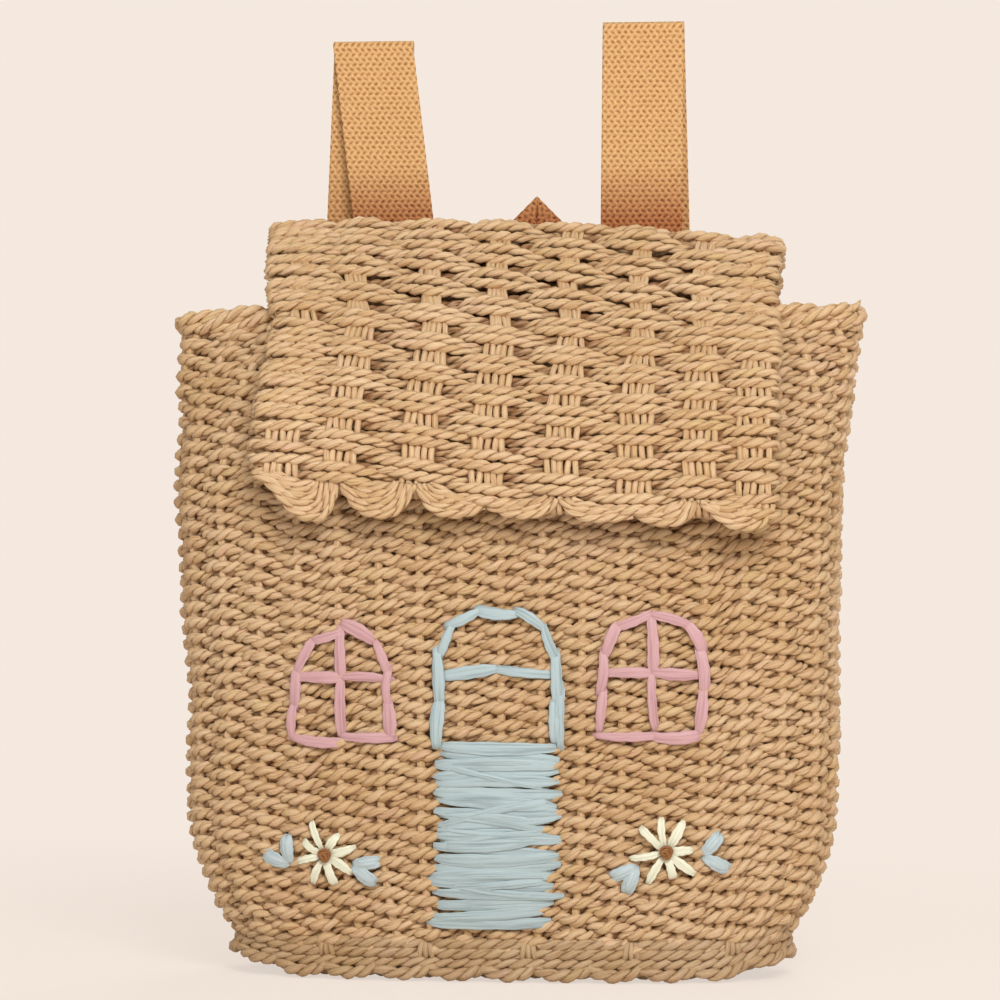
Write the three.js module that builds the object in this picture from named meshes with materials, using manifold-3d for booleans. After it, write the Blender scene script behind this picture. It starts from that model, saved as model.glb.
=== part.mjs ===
// Straw backpack: a woven basket with a hinged flap, raffia embroidery and two folded webbing straps.
// Millimetres, +Z up, the front towards -Y. The origin is on the floor, under the middle of the base.
import * as THREE from 'three';
import { LoftGeometry } from 'three/addons/geometries/LoftGeometry.js';
import { TessellateModifier } from 'three/addons/modifiers/TessellateModifier.js';
import { mergeVertices } from 'three/addons/utils/BufferGeometryUtils.js';
import Module from 'manifold-3d';

const wasm = await Module();
wasm.setup();

// Gaps between pieces that touch.
const seatGap = 0.3;
const pivotGap = 0.6;
const seamPlay = 0.7;

// Basket body.
const bodyHeight = 239;
const footHalfWidth = 115.5;
const rimHalfWidth = 124;
const widthFlarePower = 1.3;
const bellyHalfDepth = 45;
const squareness = 3;
const wallThickness = 8;
const cornerHeight = 60;
const cornerInsetWidth = 28;
const cornerInsetDepth = 9;
const cornerPower = 1.8;

// The mouth is pinched: over its height the front wall leans back and the back wall leans forward.
const pinchHeight = 89;
const pinchRun = 65;
const pinchDepth = 18;
const pinchPower = 2.95;
const backLean = 11;
const pinchStart = bodyHeight - pinchHeight;

// Border cords and the base.
const rimRadius = 4;
const frontRimDrop = 8;
const footRadius = 5;
const footFlat = 0.4;
const footProud = 2.5;
const basePlateThickness = 7;

// Riser, crest and flap; the crest stands over the rim and the flap ends below it.
const flapWidth = 186;
const crestRise = 32;
const crestDepth = 19;
const crestRadius = 4;
const riserBottomThickness = 8;
const hingeEndThickness = 4.5;
const flapThickness = 7;
const flapThickenRun = 25;
const flapDrop = 66;
const flapClearance = 5.1;
const flapBorderWidth = 190;
const flapBorderDrop = 11.2;
const flapBorderExtra = 1.6;
const scallopCount = 7;
const scallopDepth = 3.5;
const crestHeight = bodyHeight + crestRise;
const flapBottom = bodyHeight - flapDrop;

// Hidden snap between the flap and the wall, a little above the flap's lower edge.
const snapRise = 7;
const snapRadius = 8;
const studFlange = 1.6;
const studBossRadius = 3;
const studBossHeight = 1.3;
const socketThickness = 1.8;
const socketHoleRadius = 4.2;
const socketHoleDepth = 1.4;
const snapEdge = 0.4;
const snapHeight = flapBottom + snapRise;

// Webbing straps: a front ply rises from its top seam, folds over and comes down behind to a foot seam.
const webbingWidth = 30;
const webbingThickness = 2;
const strapSeamBelowRim = 3;
const strapSeamDrop = 27;
const strapLeanBack = 7.5;
const footSeamHeight = 50;
const footSeamDrop = 27;
const footLeanOut = 9.5;
const leftStrap = { side: 'left', seamX: -49, foldX: -58.5, foldRise: 102, footSign: -1, adjusterRise: 32 };
const rightStrap = { side: 'right', seamX: 42.5, foldX: 42.5, foldRise: 108, footSign: 1, adjusterRise: 26 };
const strapSeamHeight = bodyHeight - strapSeamBelowRim;

// Slide adjusters on the back plies, at a rise above the strap's bend.
const adjusterLength = 26;
const adjusterRail = 3;
const adjusterBar = 6;
const adjusterSlotPlay = 1;
const adjusterPlay = 0.4;
const adjusterStock = 1.6;

// Hanging loop of mitred webbing behind the crest.
const hangLoopX = 4;
const hangLoopRise = 43;
const hangLoopHalfWidth = 22;
const hangLoopHoleHalfWidth = 6;
const hangLoopSeamAboveRim = 4.5;
const hangLoopSeamDrop = 15.5;
const hangLoopHoleHeight = 14;
const hangLoopPeak = bodyHeight + hangLoopRise;
const hangLoopSeamTop = bodyHeight + hangLoopSeamAboveRim;

// Raffia embroidery on the front wall.
const stitchThickness = 1.4;
const stitchWidth = 4;
const embroideryLift = 0.35;
const door = { x: -1.5, width: 45, sill: 86, springing: 112, top: 134, lintel: 108, panelFoot: 20.5 };
const leftWindow = { x: -55.3, width: 36.5, sill: 84, springing: 109, top: 125.5, muntin: 107 };
const rightWindow = { x: 53.5, width: 37, sill: 87.5, springing: 115, top: 131.5, muntin: 109.5 };
const satinStrands = 15;
const leftFlower = {
  side: 'left',
  x: -62,
  z: 45.4,
  outerLeaves: { x: -76.5, z: 41, turns: [93, 157] },
  innerLeaves: { x: -49.5, z: 43, turns: [-6, -52] },
};
const rightFlower = {
  side: 'right',
  x: 58.1,
  z: 46.8,
  outerLeaves: { x: 71.5, z: 45.4, turns: [48, -27] },
  innerLeaves: { x: 45.5, z: 43, turns: [205, 253] },
};
const petalCount = 8;
const petalReach = 12;
const petalValley = 5.5;
const petalHole = 3.2;
const petalSharpness = 1.5;
const flowerCenterRadius = 2.7;
const leafLength = 10.5;
const leafWidth = 4.5;
const leafHeel = 1;
const satinBulge = 1;
const facetLength = 8;

// Facet counts of the round shapes.
const ringColumns = 56;
const wallRows = 14;
const ringCordSides = 10;
const rodSides = 16;
const snapSides = 32;
const flapSteps = 18;
const flapCurvePoints = 5;
const stepsPerScallop = 8;
const stepsPerPetal = 6;
const archSteps = 14;
const archSideSteps = 4;
const plyEndSteps = 6;
const outlineSteps = 10;

const straw = new THREE.MeshStandardMaterial({ color: 0xc49d74, roughness: 0.75 });
const strawBorder = new THREE.MeshStandardMaterial({ color: 0xbb9367, roughness: 0.75 });
const webbing = new THREE.MeshStandardMaterial({ color: 0xe2ac76, roughness: 0.85 });
const blueRaffia = new THREE.MeshStandardMaterial({ color: 0xb7c3c2, roughness: 0.6 });
const pinkRaffia = new THREE.MeshStandardMaterial({ color: 0xdeb4ae, roughness: 0.6 });
const creamRaffia = new THREE.MeshStandardMaterial({ color: 0xe9e9d1, roughness: 0.6 });
const brownRaffia = new THREE.MeshStandardMaterial({ color: 0x82552d, roughness: 0.7 });
const leafRaffia = new THREE.MeshStandardMaterial({ color: 0xb4bab4, roughness: 0.6 });
const snapMetal = new THREE.MeshStandardMaterial({ color: 0x9a8f78, roughness: 0.35, metalness: 0.9 });
const adjusterMetal = new THREE.MeshStandardMaterial({ color: 0xa08a5c, roughness: 0.35, metalness: 0.9 });

const pack = new THREE.Group();
pack.name = 'straw_backpack';

function add(name, geometry, material) {
  const mesh = new THREE.Mesh(geometry, material);
  mesh.name = name;
  pack.add(mesh);
}

// Half sizes of the basket's outer outline at a height.
function halfWidthAt(z) {
  const flare = (rimHalfWidth - footHalfWidth) * (z / bodyHeight) ** widthFlarePower;
  return footHalfWidth + flare - cornerInsetWidth * cornerShareAt(z);
}

function cornerShareAt(z) {
  return z < cornerHeight ? ((cornerHeight - z) / cornerHeight) ** cornerPower : 0;
}

function frontDepthAt(z) {
  const run = Math.max(0, z - pinchStart) / pinchRun;
  const straightRun = Math.max(0, run - 1);
  const pinch = pinchDepth * (Math.min(run, 1) ** pinchPower + pinchPower * straightRun);
  return bellyHalfDepth - cornerInsetDepth * cornerShareAt(z) - pinch;
}

function backDepthAt(z) {
  const run = Math.max(0, z - pinchStart) / (bodyHeight - pinchStart);
  return bellyHalfDepth - cornerInsetDepth * cornerShareAt(z) - backLean * run ** 2;
}

// A point of the outline at an angle round the basket, moved inwards by an inset.
function outlinePoint(angle, z, inset) {
  const c = Math.cos(angle);
  const s = Math.sin(angle);
  const power = 2 / squareness;
  const depth = s < 0 ? frontDepthAt(z) : backDepthAt(z);
  const x = (halfWidthAt(z) - inset) * Math.sign(c) * Math.abs(c) ** power;
  const y = (depth - inset) * Math.sign(s) * Math.abs(s) ** power;
  return new THREE.Vector3(x, y, z);
}

function frontWallY(x, z) {
  const across = Math.min(1, Math.abs(x) / halfWidthAt(z));
  return -frontDepthAt(z) * (1 - across ** squareness) ** (1 / squareness);
}

// The back's outer face under a piece of a width, at the piece's inner edge, where the back is most proud.
// The rim cord stands over the wall's top edge, so the back is no shallower there.
function backSeatY(x, z, width) {
  const seatZ = Math.min(z, wallTopAt(Math.PI / 2));
  const inner = Math.max(0, Math.abs(x) - width / 2);
  return backDepthAt(seatZ) * (1 - (inner / halfWidthAt(seatZ)) ** squareness) ** (1 / squareness);
}

// Height of the wall's own top edge, under the rim cord; it dips along the front.
function wallTopAt(angle) {
  const dip = frontRimDrop * THREE.MathUtils.smoothstep(-Math.sin(angle), 0, 1);
  return bodyHeight - 2 * rimRadius - seatGap - dip;
}

// Skins a closed band round the basket; each section runs up its outer side and down its inner side.
function roundTheBasket(sectionAt) {
  const sections = [];
  for (let i = 0; i <= ringColumns; i++) {
    const angle = ((i % ringColumns) / ringColumns) * 2 * Math.PI;
    sections.push(sectionAt(angle).reverse());
  }
  return new LoftGeometry(sections);
}

function wallGeometry() {
  const bottom = 2 * footRadius - footFlat + seatGap;
  return roundTheBasket((angle) => {
    const outer = [];
    const inner = [];
    for (let i = 0; i <= wallRows; i++) {
      const z = bottom + (wallTopAt(angle) - bottom) * (i / wallRows);
      outer.push(outlinePoint(angle, z, 0));
      inner.unshift(outlinePoint(angle, z, wallThickness));
    }
    return [...outer, ...inner];
  });
}

// A cord that runs round the basket, over the outline at a height: its centre may change with the angle.
function ringCordGeometry(radius, centreAt) {
  return roundTheBasket((angle) => {
    const { height, inset, outlineHeight } = centreAt(angle);
    const section = [];
    for (let i = 0; i < ringCordSides; i++) {
      const turn = ((i + 0.5) / ringCordSides) * 2 * Math.PI;
      const point = outlinePoint(angle, outlineHeight, inset - radius * Math.cos(turn));
      point.z = Math.max(0, height + radius * Math.sin(turn));
      section.push(point);
    }
    return section;
  });
}

function basePlateGeometry() {
  const outline = [];
  const inset = 2 * footRadius - footProud + seatGap;
  for (let i = 0; i < ringColumns; i++) {
    const point = outlinePoint((i / ringColumns) * 2 * Math.PI, footRadius, inset);
    outline.push(new THREE.Vector2(point.x, point.y));
  }
  const options = { depth: basePlateThickness, bevelEnabled: false };
  return new THREE.ExtrudeGeometry(new THREE.Shape(outline), options);
}

// Extrudes a side profile, given as points of (y, z), across the width.
function acrossGeometry(profile, width, centreX = 0) {
  const geometry = new THREE.ExtrudeGeometry(new THREE.Shape(profile), { depth: width, bevelEnabled: false });
  const yzx = new THREE.Matrix4().makeBasis(
    new THREE.Vector3(0, 1, 0),
    new THREE.Vector3(0, 0, 1),
    new THREE.Vector3(1, 0, 0),
  );
  return geometry.applyMatrix4(yzx).translate(centreX - width / 2, 0, 0);
}

// Extrudes a front outline, given in (x, z), backwards or forwards from a plane at y.
function upright(shape, y, thickness) {
  const options = { depth: thickness, bevelEnabled: false, curveSegments: outlineSteps };
  const geometry = new THREE.ExtrudeGeometry(shape, options);
  return geometry.rotateX(Math.PI / 2).translate(0, y + thickness, 0);
}

const crestCentre = new THREE.Vector2(crestDepth, crestHeight - crestRadius);

function riserGeometry() {
  const seatY = backDepthAt(bodyHeight) - riserBottomThickness / 2;
  const seat = new THREE.Vector2(seatY, bodyHeight + seatGap);
  const down = seat.clone().sub(crestCentre).normalize();
  const side = new THREE.Vector2(-down.y, down.x);
  const top = crestCentre.clone().addScaledVector(down, crestRadius + seatGap);
  const half = riserBottomThickness / 2;
  return acrossGeometry([
    new THREE.Vector2(seat.x - half, seat.y),
    new THREE.Vector2(seat.x + half, seat.y),
    top.clone().addScaledVector(side, hingeEndThickness / 2),
    top.clone().addScaledVector(side, -hingeEndThickness / 2),
  ], flapWidth);
}

function crestGeometry() {
  const geometry = new THREE.CylinderGeometry(crestRadius, crestRadius, flapWidth, rodSides);
  return geometry.rotateZ(Math.PI / 2).translate(0, crestCentre.x, crestCentre.y);
}

// Inner face of the flap at a height: the front wall's outer face plus a clearance.
function flapInnerY(z) {
  return -frontDepthAt(z) - flapClearance;
}

// Direction from the hinge line to where the flap meets the rim.
function flapStart() {
  const rimTop = wallTopAt(-Math.PI / 2) + 2 * rimRadius;
  const rim = new THREE.Vector2(flapInnerY(rimTop), rimTop);
  const straight = rim.clone().sub(crestCentre);
  const swing = Math.asin(hingeEndThickness / 2 / straight.length());
  const along = straight.clone().normalize().rotateAround(new THREE.Vector2(), -swing);
  const out = new THREE.Vector2(along.y, -along.x);
  return { along, out, rim };
}

function flapInnerCurve() {
  const { along, out, rim } = flapStart();
  const hingeEnd = crestCentre.clone().addScaledVector(along, crestRadius + seatGap);
  hingeEnd.addScaledVector(out, -hingeEndThickness / 2);
  const points = [hingeEnd, rim];
  for (let i = 1; i <= flapCurvePoints; i++) {
    const z = THREE.MathUtils.lerp(rim.y, flapBottom, i / flapCurvePoints);
    points.push(new THREE.Vector2(flapInnerY(z), z));
  }
  return new THREE.SplineCurve(points);
}

function flapGeometry() {
  const curve = flapInnerCurve();
  const length = curve.getLength();
  const inner = [];
  const outer = [];
  for (let i = 0; i <= flapSteps; i++) {
    const point = curve.getPointAt(i / flapSteps);
    const along = curve.getTangentAt(i / flapSteps);
    const out = new THREE.Vector2(along.y, -along.x);
    const share = Math.min(1, (length * i) / flapSteps / flapThickenRun);
    inner.push(point);
    const thickness = THREE.MathUtils.lerp(hingeEndThickness, flapThickness, share);
    outer.unshift(point.clone().addScaledVector(out, thickness));
  }
  return acrossGeometry([...outer, ...inner], flapWidth);
}

function flapBorderGeometry() {
  const top = flapBottom - seatGap;
  const foot = top - flapBorderDrop;
  const half = flapBorderWidth / 2;
  const shape = new THREE.Shape([new THREE.Vector2(half, top), new THREE.Vector2(-half, top)]);
  const steps = scallopCount * stepsPerScallop;
  for (let i = 0; i <= steps; i++) {
    const arch = Math.abs(Math.sin((i / steps) * scallopCount * Math.PI));
    shape.lineTo(-half + (flapBorderWidth * i) / steps, foot + scallopDepth * (1 - arch));
  }
  const inner = flapInnerY(flapBottom) + flapBorderExtra / 2;
  const thickness = flapThickness + flapBorderExtra;
  return upright(shape, inner - thickness, thickness);
}

// Snap halves are turned to the wall's slope and face each other across the closed gap.
function snapPlace(geometry, fromWall) {
  const step = 1;
  const slope = (frontDepthAt(snapHeight - step) - frontDepthAt(snapHeight + step)) / (2 * step);
  const tilt = Math.atan(slope);
  const y = -frontDepthAt(snapHeight) - fromWall * Math.cos(tilt);
  const z = snapHeight + fromWall * Math.sin(tilt);
  return geometry.rotateX(Math.PI - tilt).translate(0, y, z);
}

function snapStudGeometry() {
  return snapPlace(new THREE.LatheGeometry([
    new THREE.Vector2(0, 0),
    new THREE.Vector2(snapRadius, 0),
    new THREE.Vector2(snapRadius, studFlange - snapEdge),
    new THREE.Vector2(snapRadius - snapEdge, studFlange),
    new THREE.Vector2(studBossRadius, studFlange),
    new THREE.Vector2(studBossRadius, studFlange + studBossHeight),
    new THREE.Vector2(0, studFlange + studBossHeight),
  ], snapSides), 2 * seatGap);
}

function snapSocketGeometry() {
  return snapPlace(new THREE.LatheGeometry([
    new THREE.Vector2(0, socketHoleDepth),
    new THREE.Vector2(socketHoleRadius, socketHoleDepth),
    new THREE.Vector2(socketHoleRadius, 0),
    new THREE.Vector2(snapRadius, 0),
    new THREE.Vector2(snapRadius, socketThickness),
    new THREE.Vector2(0, socketThickness),
  ], snapSides), 3 * seatGap + studFlange);
}

// A flat length of webbing between two points of (x, y, z), with round ends and level side edges.
function plyGeometry(from, to, across = webbingWidth) {
  const flat = new THREE.Vector3(0, to.y - from.y, to.z - from.z);
  const length = flat.length();
  const along = flat.clone().normalize();
  const width = new THREE.Vector3(1, 0, 0);
  const radius = webbingThickness / 2;
  const capsule = new THREE.Shape();
  capsule.absarc(0, 0, radius, Math.PI, 2 * Math.PI);
  capsule.absarc(0, length, radius, 0, Math.PI);
  const options = { depth: across, bevelEnabled: false, curveSegments: plyEndSteps };
  const geometry = new THREE.ExtrudeGeometry(capsule, options);
  geometry.translate(0, 0, -across / 2);
  geometry.applyMatrix4(new THREE.Matrix4().makeBasis(along.clone().cross(width), along, width));
  const lean = (to.x - from.x) / (to.z - from.z);
  geometry.applyMatrix4(new THREE.Matrix4().makeShear(0, 0, 0, 0, lean, 0));
  return geometry.translate(from.x, from.y, from.z);
}

// Distance between the centres of two round ends that meet at a pivot.
const pivotSpacing = webbingThickness + pivotGap;

// The four turning lines of a strap form a parallelogram: seam, fold, bend and foot.
function strapLines(strap) {
  const proud = seamPlay + webbingThickness / 2;
  const seamY = backSeatY(strap.seamX, strapSeamHeight, webbingWidth) + proud;
  const seam = new THREE.Vector3(strap.seamX, seamY, strapSeamHeight);
  const fold = new THREE.Vector3(strap.foldX, seamY + strapLeanBack, strapSeamHeight + strap.foldRise);
  const footX = strap.foldX + strap.footSign * footLeanOut;
  const footY = backSeatY(footX, footSeamHeight, webbingWidth) + proud;
  const foot = new THREE.Vector3(footX, footY, footSeamHeight);
  const link = fold.clone().sub(seam);
  const share = (fold.z - foot.z - link.z) / (fold.z - foot.z);
  const bendX = THREE.MathUtils.lerp(fold.x, foot.x, share);
  const bend = new THREE.Vector3(bendX, foot.y + link.y, foot.z + link.z);
  return { seam, fold, bend, foot };
}

// The point at a distance from one point towards another.
function towards(from, to, distance) {
  return from.clone().addScaledVector(to.clone().sub(from).normalize(), distance);
}

// A sewn end lies on the back wall below its turning line.
function seamGeometry(line, drop) {
  const low = line.z - drop;
  const rise = backSeatY(line.x, line.z, webbingWidth) - backSeatY(line.x, low, webbingWidth);
  const from = new THREE.Vector3(line.x, line.y - rise, low);
  return plyGeometry(from, towards(line, from, pivotSpacing / 2));
}

function addStrap(strap) {
  const { seam, fold, bend, foot } = strapLines(strap);
  const half = pivotSpacing / 2;
  const frontTop = fold.clone();
  frontTop.y -= half;
  const backTop = fold.clone();
  backTop.y += half;
  add(strap.side + '_strap_top_seam', seamGeometry(seam, strapSeamDrop), webbing);
  add(strap.side + '_strap_front_ply', plyGeometry(towards(seam, frontTop, half), frontTop), webbing);
  add(strap.side + '_strap_back_ply', plyGeometry(towards(bend, backTop, half), backTop), webbing);
  add(strap.side + '_strap_tail', plyGeometry(towards(foot, bend, half), towards(bend, foot, half)), webbing);
  add(strap.side + '_strap_foot_seam', seamGeometry(foot, footSeamDrop), webbing);
  add(strap.side + '_slide_adjuster', adjusterGeometry(bend, backTop, strap.adjusterRise), adjusterMetal);
}

function solidOf(geometry) {
  const bare = geometry.clone();
  bare.deleteAttribute('normal');
  bare.deleteAttribute('uv');
  const merged = mergeVertices(bare, 1e-4);
  return new wasm.Manifold(new wasm.Mesh({
    numProp: 3,
    vertProperties: merged.getAttribute('position').array,
    triVerts: new Uint32Array(merged.index.array),
  }));
}

function geometryOf(solid) {
  const mesh = solid.getMesh();
  const geometry = new THREE.BufferGeometry();
  geometry.setAttribute('position', new THREE.BufferAttribute(mesh.vertProperties, 3));
  geometry.setIndex(new THREE.BufferAttribute(mesh.triVerts, 1));
  return geometry;
}

function joined(geometries) {
  return geometryOf(geometries.map(solidOf).reduce((whole, next) => whole.add(next)));
}

// Two rails, a middle bar on the bag's side and two bars on the outside; the webbing passes between them.
function adjusterGeometry(bend, backTop, rise) {
  const slot = webbingThickness / 2 + adjusterPlay;
  const face = slot + adjusterStock;
  const inside = webbingWidth / 2 + adjusterSlotPlay;
  const outside = inside + adjusterRail;
  const block = (wide, deep, tall, x, y, z) => new THREE.BoxGeometry(wide, deep, tall).translate(x, y, z);
  const rail = (x) => block(adjusterRail, 2 * face, adjusterLength, x, 0, 0);
  const bar = (y, z) => block(2 * outside, adjusterStock, adjusterBar, 0, y, z);
  const barY = slot + adjusterStock / 2;
  const barZ = (adjusterLength - adjusterBar) / 2;
  const railX = (inside + outside) / 2;
  const geometry = joined([rail(-railX), rail(railX), bar(-barY, 0), bar(barY, barZ), bar(barY, -barZ)]);
  const run = backTop.clone().sub(bend);
  geometry.applyMatrix4(new THREE.Matrix4().makeRotationX(Math.atan2(-run.y, run.z)));
  geometry.applyMatrix4(new THREE.Matrix4().makeShear(0, 0, 0, 0, run.x / run.z, 0));
  const place = bend.clone().addScaledVector(run, rise / run.z);
  return geometry.translate(place.x, place.y, place.z);
}

// The loop turns about a line just above its seam.
const hangLoopPivotHeight = hangLoopSeamTop + (webbingThickness + pivotSpacing) / 2;

function hangLoopDepth() {
  return backDepthAt(bodyHeight) + webbingThickness;
}

function hangLoopSeamGeometry() {
  const low = hangLoopSeamTop - hangLoopSeamDrop;
  const from = new THREE.Vector3(hangLoopX, backDepthAt(low) + seamPlay + webbingThickness / 2, low);
  const pivot = new THREE.Vector3(hangLoopX, hangLoopDepth(), hangLoopPivotHeight);
  return plyGeometry(from, towards(pivot, from, pivotSpacing / 2), 2 * hangLoopHalfWidth);
}

function hangLoopGeometry() {
  const foot = hangLoopPivotHeight + pivotSpacing / 2;
  const shoulder = hangLoopPeak - hangLoopHalfWidth;
  const left = hangLoopX - hangLoopHalfWidth;
  const right = hangLoopX + hangLoopHalfWidth;
  const shape = new THREE.Shape([
    new THREE.Vector2(left, foot),
    new THREE.Vector2(hangLoopX - hangLoopHoleHalfWidth, foot),
    new THREE.Vector2(hangLoopX, foot + hangLoopHoleHeight),
    new THREE.Vector2(hangLoopX + hangLoopHoleHalfWidth, foot),
    new THREE.Vector2(right, foot),
    new THREE.Vector2(right, shoulder),
    new THREE.Vector2(hangLoopX, hangLoopPeak),
    new THREE.Vector2(left, shoulder),
  ]);
  const radius = webbingThickness / 2;
  const legWidth = hangLoopHalfWidth - hangLoopHoleHalfWidth;
  const legMiddle = (hangLoopHalfWidth + hangLoopHoleHalfWidth) / 2;
  const legEnd = (x) => new THREE.CylinderGeometry(radius, radius, legWidth, rodSides)
    .rotateZ(Math.PI / 2)
    .translate(x, hangLoopDepth(), foot);
  const plate = upright(shape, hangLoopDepth() - radius, webbingThickness);
  return joined([plate, legEnd(hangLoopX - legMiddle), legEnd(hangLoopX + legMiddle)]);
}

// A flat front outline as thick as a stitch, before it is laid on the wall.
function flatSkin(shape) {
  return upright(shape, -stitchThickness, stitchThickness);
}

// Lays a flat skin on the curved front wall, in facets small enough to follow it.
function onFrontWall(skin) {
  const geometry = new TessellateModifier(facetLength, 8).modify(skin);
  const places = geometry.getAttribute('position');
  for (let i = 0; i < places.count; i++) {
    const wall = frontWallY(places.getX(i), places.getZ(i));
    places.setY(i, wall - embroideryLift + places.getY(i));
  }
  return geometry;
}

// The outline of an arched frame: straight sides, then half an ellipse.
function archPoints(frame, inset, foot) {
  const half = frame.width / 2 - inset;
  const points = [];
  for (let i = 0; i < archSideSteps; i++) {
    const z = THREE.MathUtils.lerp(foot, frame.springing, i / archSideSteps);
    points.push(new THREE.Vector2(frame.x + half, z));
  }
  for (let i = 0; i <= archSteps; i++) {
    const turn = (i / archSteps) * Math.PI;
    const rise = frame.top - inset - frame.springing;
    points.push(new THREE.Vector2(frame.x + half * Math.cos(turn), frame.springing + rise * Math.sin(turn)));
  }
  for (let i = archSideSteps - 1; i >= 0; i--) {
    const z = THREE.MathUtils.lerp(foot, frame.springing, i / archSideSteps);
    points.push(new THREE.Vector2(frame.x - half, z));
  }
  return points;
}

// Cuts an arch's opening along crossing bars, so that the frame and its bars are one skin.
function archFrameGeometry(frame, sillWidth, bars) {
  const outline = new THREE.Shape(archPoints(frame, 0, frame.sill));
  const opening = new THREE.Shape(archPoints(frame, stitchWidth, frame.sill + sillWidth));
  const depth = 4 * stitchThickness;
  let cut = solidOf(upright(opening, -depth, 2 * depth));
  for (const bar of bars) {
    const box = new THREE.BoxGeometry(bar.wide, 4 * depth, bar.tall).translate(bar.x, 0, bar.z);
    cut = cut.subtract(solidOf(box));
  }
  return onFrontWall(geometryOf(solidOf(flatSkin(outline)).subtract(cut)));
}

function windowGeometry(frame) {
  const verticalBar = { wide: stitchWidth, tall: 2 * frame.width, x: frame.x, z: frame.muntin };
  const levelBar = { wide: 2 * frame.width, tall: stitchWidth, x: frame.x, z: frame.muntin };
  return archFrameGeometry(frame, stitchWidth, [verticalBar, levelBar]);
}

function doorFrameGeometry() {
  const lintel = { wide: 2 * door.width, tall: stitchWidth, x: door.x, z: door.lintel };
  return archFrameGeometry({ ...door, sill: door.sill + seatGap }, 0, [lintel]);
}

// Long satin strands side by side; each one's ends bulge a little past the next.
function doorPanelGeometry() {
  const pitch = (door.sill - door.panelFoot) / satinStrands;
  const half = door.width / 2;
  const right = [];
  const left = [];
  for (let i = 0; i < satinStrands; i++) {
    const z = door.panelFoot + i * pitch;
    const top = z + pitch / 2;
    right.push(new THREE.Vector2(door.x + half - satinBulge, z), new THREE.Vector2(door.x + half, top));
    left.unshift(new THREE.Vector2(door.x - half, top), new THREE.Vector2(door.x - half + satinBulge, z));
  }
  right.push(new THREE.Vector2(door.x + half - satinBulge, door.sill));
  left.unshift(new THREE.Vector2(door.x - half + satinBulge, door.sill));
  return onFrontWall(flatSkin(new THREE.Shape([...right, ...left])));
}

function petalsGeometry(flower) {
  const shape = new THREE.Shape();
  const steps = petalCount * stepsPerPetal;
  for (let i = 0; i < steps; i++) {
    const turn = (i / steps) * 2 * Math.PI;
    const lobe = Math.abs(Math.sin((petalCount * turn) / 2)) ** petalSharpness;
    const reach = THREE.MathUtils.lerp(petalValley, petalReach, lobe);
    const point = [flower.x + reach * Math.cos(turn), flower.z + reach * Math.sin(turn)];
    if (i === 0) shape.moveTo(...point);
    else shape.lineTo(...point);
  }
  const hole = new THREE.Path();
  hole.absarc(flower.x, flower.z, petalHole, 0, 2 * Math.PI, true);
  shape.holes.push(hole);
  return onFrontWall(flatSkin(shape));
}

function flowerCenterGeometry(flower) {
  const disc = new THREE.Shape();
  disc.absarc(flower.x, flower.z, flowerCenterRadius, 0, 2 * Math.PI);
  return onFrontWall(flatSkin(disc));
}

// Two leaves that part from one foot, beside the petals.
function leafPairGeometry(pair) {
  const foot = new THREE.Vector2(pair.x, pair.z);
  const leaf = (degrees) => {
    const turn = THREE.MathUtils.degToRad(degrees);
    const along = new THREE.Vector2(Math.cos(turn), Math.sin(turn));
    const side = new THREE.Vector2(-along.y, along.x);
    const heel = foot.clone().addScaledVector(along, -leafHeel);
    const tip = foot.clone().addScaledVector(along, leafLength);
    const middle = foot.clone().addScaledVector(along, leafLength / 2);
    const below = middle.clone().addScaledVector(side, -leafWidth);
    const above = middle.clone().addScaledVector(side, leafWidth);
    const shape = new THREE.Shape();
    shape.moveTo(heel.x, heel.y);
    shape.quadraticCurveTo(below.x, below.y, tip.x, tip.y);
    shape.quadraticCurveTo(above.x, above.y, heel.x, heel.y);
    return flatSkin(shape);
  };
  return onFrontWall(joined(pair.turns.map(leaf)));
}

function addFlower(flower) {
  add(flower.side + '_flower_petals', petalsGeometry(flower), creamRaffia);
  add(flower.side + '_flower_center', flowerCenterGeometry(flower), brownRaffia);
  add(flower.side + '_flower_outer_leaves', leafPairGeometry(flower.outerLeaves), leafRaffia);
  add(flower.side + '_flower_inner_leaves', leafPairGeometry(flower.innerLeaves), leafRaffia);
}

add('basket_wall', wallGeometry(), straw);
add('basket_base', basePlateGeometry(), straw);
add('base_border', ringCordGeometry(footRadius, () => (
  { height: footRadius - footFlat, inset: footRadius - footProud, outlineHeight: footRadius }
)), strawBorder);
add('rim_border', ringCordGeometry(rimRadius, (angle) => (
  { height: wallTopAt(angle) + seatGap + rimRadius, inset: rimRadius, outlineHeight: wallTopAt(angle) }
)), strawBorder);
add('back_riser', riserGeometry(), straw);
add('crest_cord', crestGeometry(), strawBorder);
add('flap_panel', flapGeometry(), straw);
add('flap_border', flapBorderGeometry(), strawBorder);
add('snap_stud', snapStudGeometry(), snapMetal);
add('snap_socket', snapSocketGeometry(), snapMetal);
add('door_panel', doorPanelGeometry(), blueRaffia);
add('door_frame', doorFrameGeometry(), blueRaffia);
add('left_window', windowGeometry(leftWindow), pinkRaffia);
add('right_window', windowGeometry(rightWindow), pinkRaffia);
addFlower(leftFlower);
addFlower(rightFlower);
addStrap(leftStrap);
addStrap(rightStrap);
add('hang_loop_seam', hangLoopSeamGeometry(), webbing);
add('hang_loop', hangLoopGeometry(), webbing);

export default pack;
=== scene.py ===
import math

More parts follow.
